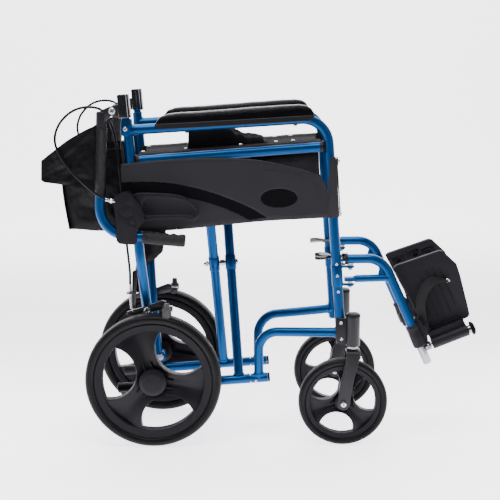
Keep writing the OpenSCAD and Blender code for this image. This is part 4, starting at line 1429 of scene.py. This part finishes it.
# ------------------------------------------------------------ lower back cloth
BACK_START = REAR_POST - 12.8        # along the rail, just behind the rear upright
BACK_ANGLE, BACK_LENGTH = radians(78.7), 150.9
BACK_LOW, BACK_HIGH = 360, 551       # above the lower rail
BACK_REAR = BACK_START - BACK_LENGTH * sin(BACK_ANGLE)


def back_side_surface(rearward, high):
    """Folded side of the back, from the upright to the rear."""
    reach = BACK_LENGTH * rearward
    along = (BACK_START - reach * sin(BACK_ANGLE)
             - (5 * sin(pi * high) * rearward - 3 * rearward))
    y = (POST_Y + reach * cos(BACK_ANGLE)
         - 5 * sin(pi * rearward) * (0.6 + 0.4 * sin(3 * high + 1))
         + 1.6 * sin(16 * high + 5 * rearward) * sin(pi * rearward))
    x, _, z = tilted(along, y, BACK_LOW + (BACK_HIGH - BACK_LOW) * high)
    low, top = tilted(along, y, BACK_LOW)[2], tilted(along, y, BACK_HIGH)[2]
    hem = 490 - 1.5 * rearward + 1.2 * sin(9 * rearward)
    return (x + 5.0 * rearward, y, hem + (z - low) * (top - hem) / (top - low))


def back_side_cloth(side):
    cloth(side, "back_side_cloth", back_side_surface, 60, 70, "back", "back_panel",
          seed=11 + side.sign, ripple=1.5)


def back_piping(side):
    """Piping that runs down behind the upright."""
    path = dense([tilted(BACK_START - 2, -113, 350), tilted(BACK_START - 2, -113, 566)], 5)
    Shape().tube(path, lambda d, _: 4.4 + 0.5 * sin(d / 7.0) + 0.3 * sin(d / 2.9), 16).build(
        side, "back_piping", NYLON_WORN, "frame", angle=60)


TAIL = [                     # share of the way down, z, rear x, front x
    (0, 458, -40, 20), (0.18, 428, -44, 15), (0.36, 404, -47, 11), (0.52, 386, -51, -8),
    (0.64, 370, -55, -30), (0.76, 350, -58, -40), (1, 306, -62, -47)]


def tail_surface(fore, down):
    z, rear, front = (interp(TAIL, down, column) for column in (1, 2, 3))
    return (rear + (front - rear) * fore,
            -78 - 3.5 * sin(4 * fore + 6 * down) - 1.5 * sin(9 * fore - 11 * down),
            z + 4 * fore * (1 - down))


def back_middle_surface(left, high):
    """Flat middle of the lower back."""
    y = -90.0 + 2 * 90.0 * left
    x = tilted(BACK_REAR, y, BACK_LOW + (BACK_HIGH - BACK_LOW) * high)[0]
    top = tilted(BACK_REAR, y, BACK_HIGH)[2]
    return (x + 8.0 - 5 * sin(pi * high) - 1.5 * sin(pi * left), y,
            489.0 + (top - 489.0) * high)


both_sides(back_side_cloth, back_piping)
# loose tail of cloth that hangs on the left side only
cloth(SIDES[1], "cloth_tail", tail_surface, 30, 60, "frame", seed=51, ripple=0.7)
cloth(CENTRE, "back_middle_cloth", back_middle_surface, 60, 70, "back_centre", "back_middle",
      seed=21, ripple=0.8)

# ------------------------------------------------------------ upper back cloth, on the canes
CANE_REAR = (CANE_DOWN[2], 0, -CANE_DOWN[0])     # square to the cane, to the rear
UPPER_START = shift(shift(CANE_TOP, CANE_DOWN, 28), CANE_REAR, 12.9)
UPPER_START = (UPPER_START[0], 0, UPPER_START[2])
UPPER_ANGLE, UPPER_LENGTH = radians(94.1), 113.3
UPPER_EDGE = [               # share of the way to the rear, lower edge down the cane
    (0, 147), (0.155, 138.5), (0.45, 131.5), (0.69, 128.5), (0.87, 127.5), (0.95, 126.3),
    (1.0, 122.5)]


def sleeve_section(radius, turn, distance):
    """Round section with a crumpled outline."""
    c, s = cos(turn), sin(turn)
    return ((radius + 0.6 * noise.noise(Vector((c, s, distance / 16)))) * c,
            (radius + 0.8 * noise.noise(Vector((c * 1.3, s * 1.3, distance / 11 + 4)))) * s)


def cane_sleeve(side):
    path = dense([shift(CANE_TOP, CANE_DOWN, 34), shift(CANE_TOP, CANE_DOWN, 176)], 3.0)
    Shape().tube(path, lambda d, _: 12.6 + 0.5 * sin(d / 8.0) + 0.35 * sin(d / 3.1 + 1), 32,
                 warp=sleeve_section).build(side, "cane_sleeve", NYLON_WORN, "cane", angle=60)


def upper_side_surface(rearward, high):
    """Side of the upper back, from the cane to the rear corner."""
    reach = UPPER_LENGTH * rearward
    top = 0.3 + 79.0 * rearward ** 1.314
    down = top + (interp(UPPER_EDGE, rearward) - top) * (1 - high)
    x, _, z = shift(shift(UPPER_START, CANE_DOWN, down), CANE_REAR,
                    reach * sin(UPPER_ANGLE) - 4.6 + 3.4 * rearward)
    belly = 5.0 * sin(pi * min(1, rearward * 1.15)) * (0.5 + 0.5 * sin(pi * high))
    creases = (1.6 * sin(7 * rearward + 9 * high) + 1.1 * sin(17 * high - 9 * rearward + 2)
               + 0.7 * sin(31 * high + 13 * rearward))
    creases *= sin(pi * min(1, rearward * 1.02)) * (1 - 0.4 * rearward)
    y = -140.5 + reach * cos(UPPER_ANGLE) - belly + creases
    if rearward > 0.90:      # soft turn at the rear corner
        y += 0.8 * ((rearward - 0.90) / 0.10) ** 2
    return (x, max(y, -152), z)


def upper_back_cloth(side):
    cloth(side, "upper_back_cloth", upper_side_surface, 70, 64, "upper_back",
          "upper_back_panel", seed=31 + side.sign, ripple=1.6)


def upper_middle_surface(left, high):
    x, _, z = shift(shift(UPPER_START, CANE_DOWN, 79.5 + 43 * (1 - high)), CANE_REAR,
                    UPPER_LENGTH * sin(UPPER_ANGLE) - 1.6 - 3.0 * sin(pi * left))
    return (x, -149.0 + 2 * 149.0 * left, z)


both_sides(cane_sleeve, upper_back_cloth)
cloth(CENTRE, "upper_back_middle_cloth", upper_middle_surface, 70, 40, "upper_back_centre",
      "upper_back_middle", seed=41, ripple=0.8)

# ------------------------------------------------------------ hanger
HANGER = [(430, POST_Y, 423), (510, POST_Y, 423.6), (582, POST_Y, 260)]
HANGER_END = HANGER[2]
HANGER_DOWN = unit(sub(HANGER[2], HANGER[1]))
HINGE = (619, -99, 222)              # rear end of the footplate hinge
HINGE_AHEAD = unit((0.929, 0, 0.370))
PLATE_UP = (-HINGE_AHEAD[2], 0, HINGE_AHEAD[0])


def hanger_tubes(side):
    shape = Shape().tube(bent(HANGER, 52, 6), 10.5, 32)
    shape.tube(dense([(446, POST_Y, 378.2), (527, POST_Y, 380)], 3),
               lambda d, _: 8.3 if d > 7 else 5.6 + 2.7 * ease(d / 7), 28)
    # flattened end of the lower strut, then the gusset between the tubes
    shape.box((438, POST_Y, 377.7), ((1, 0, 0.02), LEFT, UP), (12, 8.5, 4.2))
    shape.prism([(500, 386), (517, 386), (523, 398), (513, 412), (506, 413)],
                -114.5, -109.5)
    shape.weld((521.5, POST_Y, 379.8), (1, 0, 0.02), 8.6, 1.8)
    shape.build(side, "hanger_tubes", BLUE, "hanger_body", "hanger", angle=40)


def hanger_ring(side):
    shape = Shape()
    shape.lathe([(10.4, 0), (11.9, 0.3), (12.2, 1.0), (12.2, 5.0), (11.9, 5.7), (10.4, 6)],
                (427.6, POST_Y, 423), 36, FORWARD)
    shape.lathe(disc(9.8, 0.0, -3.0, (0.4, 0.5)), (430.4, POST_Y, 423), 32, (-1, 0, 0))
    shape.build(side, "hanger_ring", PADBASE, "hanger_body", angle=40)


def hanger_pins(side):
    """Pins that drop into the frame's lugs."""
    shape = Shape()
    shape.lathe([(0, 414.5), (6.8, 414.5), (7.2, 414), (7.2, 409.5), (6.8, 409.2),
                 (0, 409.2)], (439, POST_Y, 0), 6, UP)
    shape.tube([(439, POST_Y, 398), (439, POST_Y, 414)], 3.9, 18)
    shape.tube([(439, POST_Y, 359), (439, POST_Y, 374)], 3.9, 18)
    shape.lathe([(0, 0.6), (3.4, 0.4), (3.9, 0), (3.9, -1.0), (0, -1.0)],
                (439, POST_Y, 359), 18, (0, 0, -1))
    shape.build(side, "hanger_pins", ZINC, "hanger_body")


def clamp_knuckle(side):
    path = dense([shift(HANGER_END, HANGER_DOWN, -13), shift(HANGER_END, HANGER_DOWN, 40)],
                 2.5)

    def radius(distance, i):
        collar = 0.8 if 2 < distance < 8 else 0
        end = 1.5 if i in (0, len(path) - 1) else 0
        return 13.4 + collar + 1.6 * ease((distance - 12) / 20) - end

    shape = Shape().tube(path, radius, 32)
    x, _, z = shift(HANGER_END, HANGER_DOWN, 27)
    shape.box((x + 1.0, -98, z - 1),
              (HANGER_DOWN, LEFT, unit(cross(HANGER_DOWN, LEFT))), (15.5, 10, 12.5))
    shape.build(side, "clamp_knuckle", PLASTIC, "hanger_body", "footrest_extension",
                bevel=1.6, segments=3)


def chrome_tube(side):
    path = [shift(HANGER_END, HANGER_DOWN, d) for d in (36, 80.8, 82.2)]
    Shape().tube(path, (9.6, 9.6, 8.8), 32).build(side, "chrome_tube", CHROME, "hanger_body")


def hinge_barrel(side):
    path = [shift((HINGE[0], HINGE[1] - 5, HINGE[2]), HINGE_AHEAD, d) for d in (-12, -11, 4)]
    Shape().tube(path, (8.4, 9.4, 9.4), 24).build(side, "hinge_barrel", PLASTIC,
                                                  "hanger_body")


def hinge_pin(side):
    x, y, z = shift(HINGE, HINGE_AHEAD, -3.5)
    shape = Shape().bolt((x, y - 14.2, z + 1), 7.4, 4.5, socket=0.42)
    shape.tube([shift(HINGE, HINGE_AHEAD, -4), shift(HINGE, HINGE_AHEAD, 101)], 4.9, 20)
    shape.lathe(disc(9.0, 4.4, -4.4, (0.6, 0.8)), shift(HINGE, HINGE_AHEAD, 98.4), 36,
                HINGE_AHEAD, LEFT)
    shape.build(side, "hinge_pin", CHROME, "hanger_body")


def end_knob(side):
    Shape().lathe([(0, 5.6), (8, 5.2), (12.6, 3.4), (15.2, 0.6), (15.6, -1.6), (14.6, -3.6),
                   (11, -4.4), (0, -4.4)], shift(HINGE, HINGE_AHEAD, 104.2), 40,
                  HINGE_AHEAD, LEFT).build(side, "end_knob", DARK_PLASTIC_AND_RECESS_SHADE, "hanger_body",
                                           angle=40)


def hinge_bracket(side):
    outline = rounded([(583, 289), (597, 283), (609, 262), (615.5, 240), (616, 227),
                       (607, 218), (589, 222), (576, 250)], 2)
    Shape().prism(outline, -107.5, -90).build(side, "hinge_bracket", PLASTIC, "hanger_body",
                                              bevel=1.4, segments=3)


# ------------------------------------------------------------ footplate
def on_plate(ahead, up):
    """x, z of a point given along the hinge and up the turned-up footplate."""
    return (HINGE[0] + HINGE_AHEAD[0] * ahead + PLATE_UP[0] * up,
            HINGE[2] + HINGE_AHEAD[2] * ahead + PLATE_UP[2] * up)


def plate_outline(*points): return [on_plate(*point) for point in points]


def footplate_board(side):
    obj = Shape().prism(plate_outline(
        (-10.5, 190), (-2, 192.5), (98.0, 188), (105.6, 184), (123.6, 146), (122.5, 120),
        (114, 46), (111, 26), (106, 21), (60, 19), (14, 20), (8, 30)),
        -79.5, -66).to_object(side, "footplate_board")
    # grooves in the outer face: lower and upper ends, one pitch apart
    for i, (low, top) in enumerate(((56, 132), (50, 150), (46, 161), (46, 161), (62, 150))):
        ahead = 28 + 15.2 * i
        groove = plate_outline((ahead - 1.5, low), (ahead + 1.5, low),
                               (ahead + 1.5 - 3, top), (ahead - 1.5 - 3, top))
        carve(obj, side, Shape().prism(groove, -83, -78.1))
    # pockets in the inner face: rear, front, lower and upper edges
    for rear, front, low, top in ((6, 34, 30, 100), (38, 68, 28, 100), (72, 106, 30, 96),
                                  (0, 32, 104, 178), (36, 66, 104, 178), (70, 104, 104, 172)):
        rear_slant, front_slant = (6, 4) if low < 60 else (2, 0)
        pocket = plate_outline((rear + rear_slant, low), (front, low),
                               (front + front_slant, top), (rear, top))
        carve(obj, side, Shape().prism(pocket, -70.5, -60))
    shade(obj)
    round_edges(obj, 1.1, 2, limit=45)
    finish(obj, side, [PLATE], "plate", "footplate", angle=40)


def board_bosses(side):
    shape = Shape()
    for ahead, up, r in ((14, 168, 9), (56, 166, 9), (86, 160, 10), (30, 60, 8), (86, 60, 8)):
        x, z = on_plate(ahead, up)
        shape.lathe([(r, 0), (r, -4.6), (r - 2.2, -4.6), (r - 2.2, 0)],
                    (x, -65.9 - 4.6, z), 28)
    shape.build(side, "board_bosses", PLATE, "plate", angle=40)


def board_hinge(side):
    path = [shift(HINGE, HINGE_AHEAD, d) for d in (7.5, 8.8, 92.4, 93.6)]
    shape = Shape().tube(path, (11.6, 12.9, 12.9, 11.6), 40)
    shape.prism(plate_outline((8.5, -6), (92.5, -6), (92.5, 12), (92, 26), (9, 26),
                              (8.5, 12)), -98, -76)
    shape.build(side, "board_hinge", PLASTIC, "plate", bevel=2.2, segments=4, angle=40)


def board_lip(side):
    Shape().prism(plate_outline((14, 24.6), (86, 24.6), (86, 30.5), (14, 30.5)),
                  -84.4, -78.5).build(side, "board_lip", PLASTIC, "plate", bevel=1.2,
                                      segments=3, angle=40)


def strap_screw(side):
    x, z = on_plate(92, 118)
    Shape().bolt((x, -80.6, z), 5.6, 3.4).build(side, "strap_screw", ZINC, "plate")


def heel_strap(side):
    """Loop of webbing that stands out of the board."""
    x, z = on_plate(90, 118)
    # offsets from the strap's upper end, with y absolute
    path = [(x + dx, y, z + dz) for dx, y, dz in (
        (2, -81.5, 1), (-14, -84, 5), (-34, -90, 4), (-52, -97, -12), (-62, -101, -38),
        (-60, -100, -66), (-52, -94, -92), (-46, -87, -112), (-44, -82, -124))]
    Shape().ribbon(rounded(path, 3, False), 24, 1.8, (0.72, -0.55, -0.28)).build(
        side, "heel_strap", WEB, "plate", angle=50, bevel=0.3)


def release_paddle(side):
    """Hanger release lever beside the front upright."""
    rings = []
    for i in range(25):
        part = i / 24
        half = 9.4 * (sin(pi * (0.10 + 0.83 * part)) ** 0.5)
        middle = 426.5 + 0.8 * sin(pi * part)
        thick = 4.6 * (1.0 if part < 0.9 else 0.8)
        rings.append([(361.5 + 35 * part, -98.5 + half * cos(turn),
                       middle + 0.75 * (1 - 0.6 * part) * half * cos(turn)
                       + thick * squarish(sin(turn), 0.7)) for turn in turns(16)])
    shape = Shape().grid(rings)
    shape.tube([(392, -95.5, 426), (427, -94.5, 426)], 3.6, 16)
    shape.lathe(disc(7.2, 433, 419, (0.4, 0.6)), (428, -94.5, 0), 28, UP)
    shape.build(side, "release_paddle", PADDLE, "release", "release_lever", angle=45)


both_sides(hanger_tubes, hanger_ring, hanger_pins, clamp_knuckle, chrome_tube, hinge_barrel,
           hinge_pin, end_knob, hinge_bracket, footplate_board, board_bosses, board_hinge,
           board_lip, strap_screw, heel_strap, release_paddle)

# ------------------------------------------------------------ stage, in metres
GLOW_RANGE = (-1.0, 4.0)     # y over which the paper's glow changes
# place in that range, brightness of the glow
GLOW_STOPS = ((0.075, 0.08), (0.105, 1.0), (0.24, 0.85), (0.34, 0.50), (0.44, 0.34),
              (0.56, 0.52), (0.72, 0.84))
FLOOR_FRONT, FLOOR_BACK, COVE, WALL_TOP = -6.0, 2.2, 1.6, 7.0
FLOOR_HALF = 9               # half width


def studio_paper():
    """White paper that glows, with the glow varying from front to back."""
    paper = material("studio_paper", None, (0.86, 0.85, 0.87), rough=0.7, bump=0.02,
                     scale=40, spec=0.15)
    tree = paper.node_tree
    shader = tree.nodes["Principled BSDF"]
    shader.inputs["Emission Color"].default_value = (0.97, 0.965, 1.0, 1)
    shader.inputs["Emission Strength"].default_value = 2.75
    coords = tree.nodes.new("ShaderNodeTexCoord")
    split = tree.nodes.new("ShaderNodeSeparateXYZ")
    spread = tree.nodes.new("ShaderNodeMapRange")
    spread.inputs["From Min"].default_value, spread.inputs["From Max"].default_value = GLOW_RANGE
    ramp = tree.nodes.new("ShaderNodeValToRGB")
    stops = ramp.color_ramp.elements
    stops[0].position, stops[0].color = 0.0, (0.08, 0.08, 0.08, 1)
    stops[1].position, stops[1].color = 1.0, (0.90, 0.885, 0.95, 1)
    for position, glow in GLOW_STOPS:
        stops.new(position).color = (glow, glow * 0.98, glow * 1.05, 1)
    tree.links.new(coords.outputs["Object"], split.inputs[0])
    tree.links.new(split.outputs["Y"], spread.inputs["Value"])
    tree.links.new(spread.outputs["Result"], ramp.inputs["Fac"])
    tree.links.new(ramp.outputs["Color"], shader.inputs["Emission Color"])
    return paper


def stage_object(name, data):
    obj = bpy.data.objects.new(name, data)
    bpy.context.scene.collection.objects.link(obj)
    return obj


def backdrop():
    """Floor that curves up into a wall behind the chair's left side."""
    paper = studio_paper()
    profile = [(FLOOR_FRONT, 0.0), (FLOOR_BACK, 0.0)]
    for i in range(1, 17):
        turn = pi / 2 * i / 16
        profile.append((FLOOR_BACK + COVE * sin(turn), COVE - COVE * cos(turn)))
    profile.append((FLOOR_BACK + COVE, WALL_TOP))
    verts = [(x, y, z) for y, z in profile for x in (-FLOOR_HALF, FLOOR_HALF)]
    faces = [(2 * i, 2 * i + 1, 2 * i + 3, 2 * i + 2) for i in range(len(profile) - 1)]
    mesh = bpy.data.meshes.new("studio_backdrop")
    mesh.from_pydata(verts, [], faces)
    obj = stage_object("studio_backdrop", mesh)
    mesh.materials.append(paper)
    mesh.shade_smooth()


def area_light(name, location, target, width, height, power):
    light = bpy.data.lights.new(name, "AREA")
    light.shape = "RECTANGLE"
    light.size = width
    light.size_y = height
    light.energy = power
    obj = stage_object(name, light)
    obj.location = location
    aim = Vector(target) - Vector(location)
    obj.rotation_euler = aim.to_track_quat("-Z", "Y").to_euler()


def studio_world():
    """Bright to the camera, dim as a light."""
    world = bpy.data.worlds.new("studio")
    bpy.context.scene.world = world
    world.use_nodes = True
    tree = world.node_tree
    background = tree.nodes["Background"]
    background.inputs[0].default_value = (0.93, 0.94, 1.0, 1)
    rays = tree.nodes.new("ShaderNodeLightPath")
    strength = tree.nodes.new("ShaderNodeMapRange")
    strength.inputs["To Min"].default_value = 0.10
    strength.inputs["To Max"].default_value = 1.6
    tree.links.new(rays.outputs["Is Camera Ray"], strength.inputs["Value"])
    tree.links.new(strength.outputs["Result"], background.inputs[1])


def camera(location, lens, yaw, pitch, roll):
    """Camera looking along +Y, to the left; pitch is downwards."""
    data = bpy.data.cameras.new("camera")
    obj = stage_object("camera", data)
    bpy.context.scene.camera = obj
    data.sensor_width = 36
    data.lens = lens
    yaw, pitch, roll = radians(yaw), radians(pitch), radians(roll)
    ahead = Vector((-sin(yaw) * cos(pitch), cos(yaw) * cos(pitch), -sin(pitch)))
    level = Vector((cos(yaw), sin(yaw), 0))
    over = level.cross(ahead)
    across = level * cos(roll) + over * sin(roll)
    upward = -level * sin(roll) + over * cos(roll)
    turned = Matrix((across, upward, -ahead)).transposed()
    obj.matrix_world = Matrix.Translation(Vector(location)) @ turned.to_4x4()
    data.clip_start, data.clip_end = 0.05, 50


backdrop()
area_light("key_top", (-0.25, -0.75, 2.7), (0, 0.05, 0.3), width=2.2, height=1.5, power=84)
area_light("top_back", (0.1, 1.2, 3.2), (0, 0.3, 0.3), width=2.6, height=1.6, power=50)
area_light("strip_left", (-2.3, -1.7, 1.3), (0, 0, 0.45), width=0.7, height=2.0, power=14)
area_light("strip_right", (2.4, -1.5, 1.5), (0, 0, 0.4), width=0.7, height=2.0, power=12)
area_light("wall_wash", (0, 1.0, 4.2), (0, 3.8, 2.2), width=4.0, height=1.6, power=150)
studio_world()
camera(((220.17 - MID_X) / 1000, -2.46001, 0.89108), lens=78.2028, yaw=0.049, pitch=10.770,
       roll=-0.426)
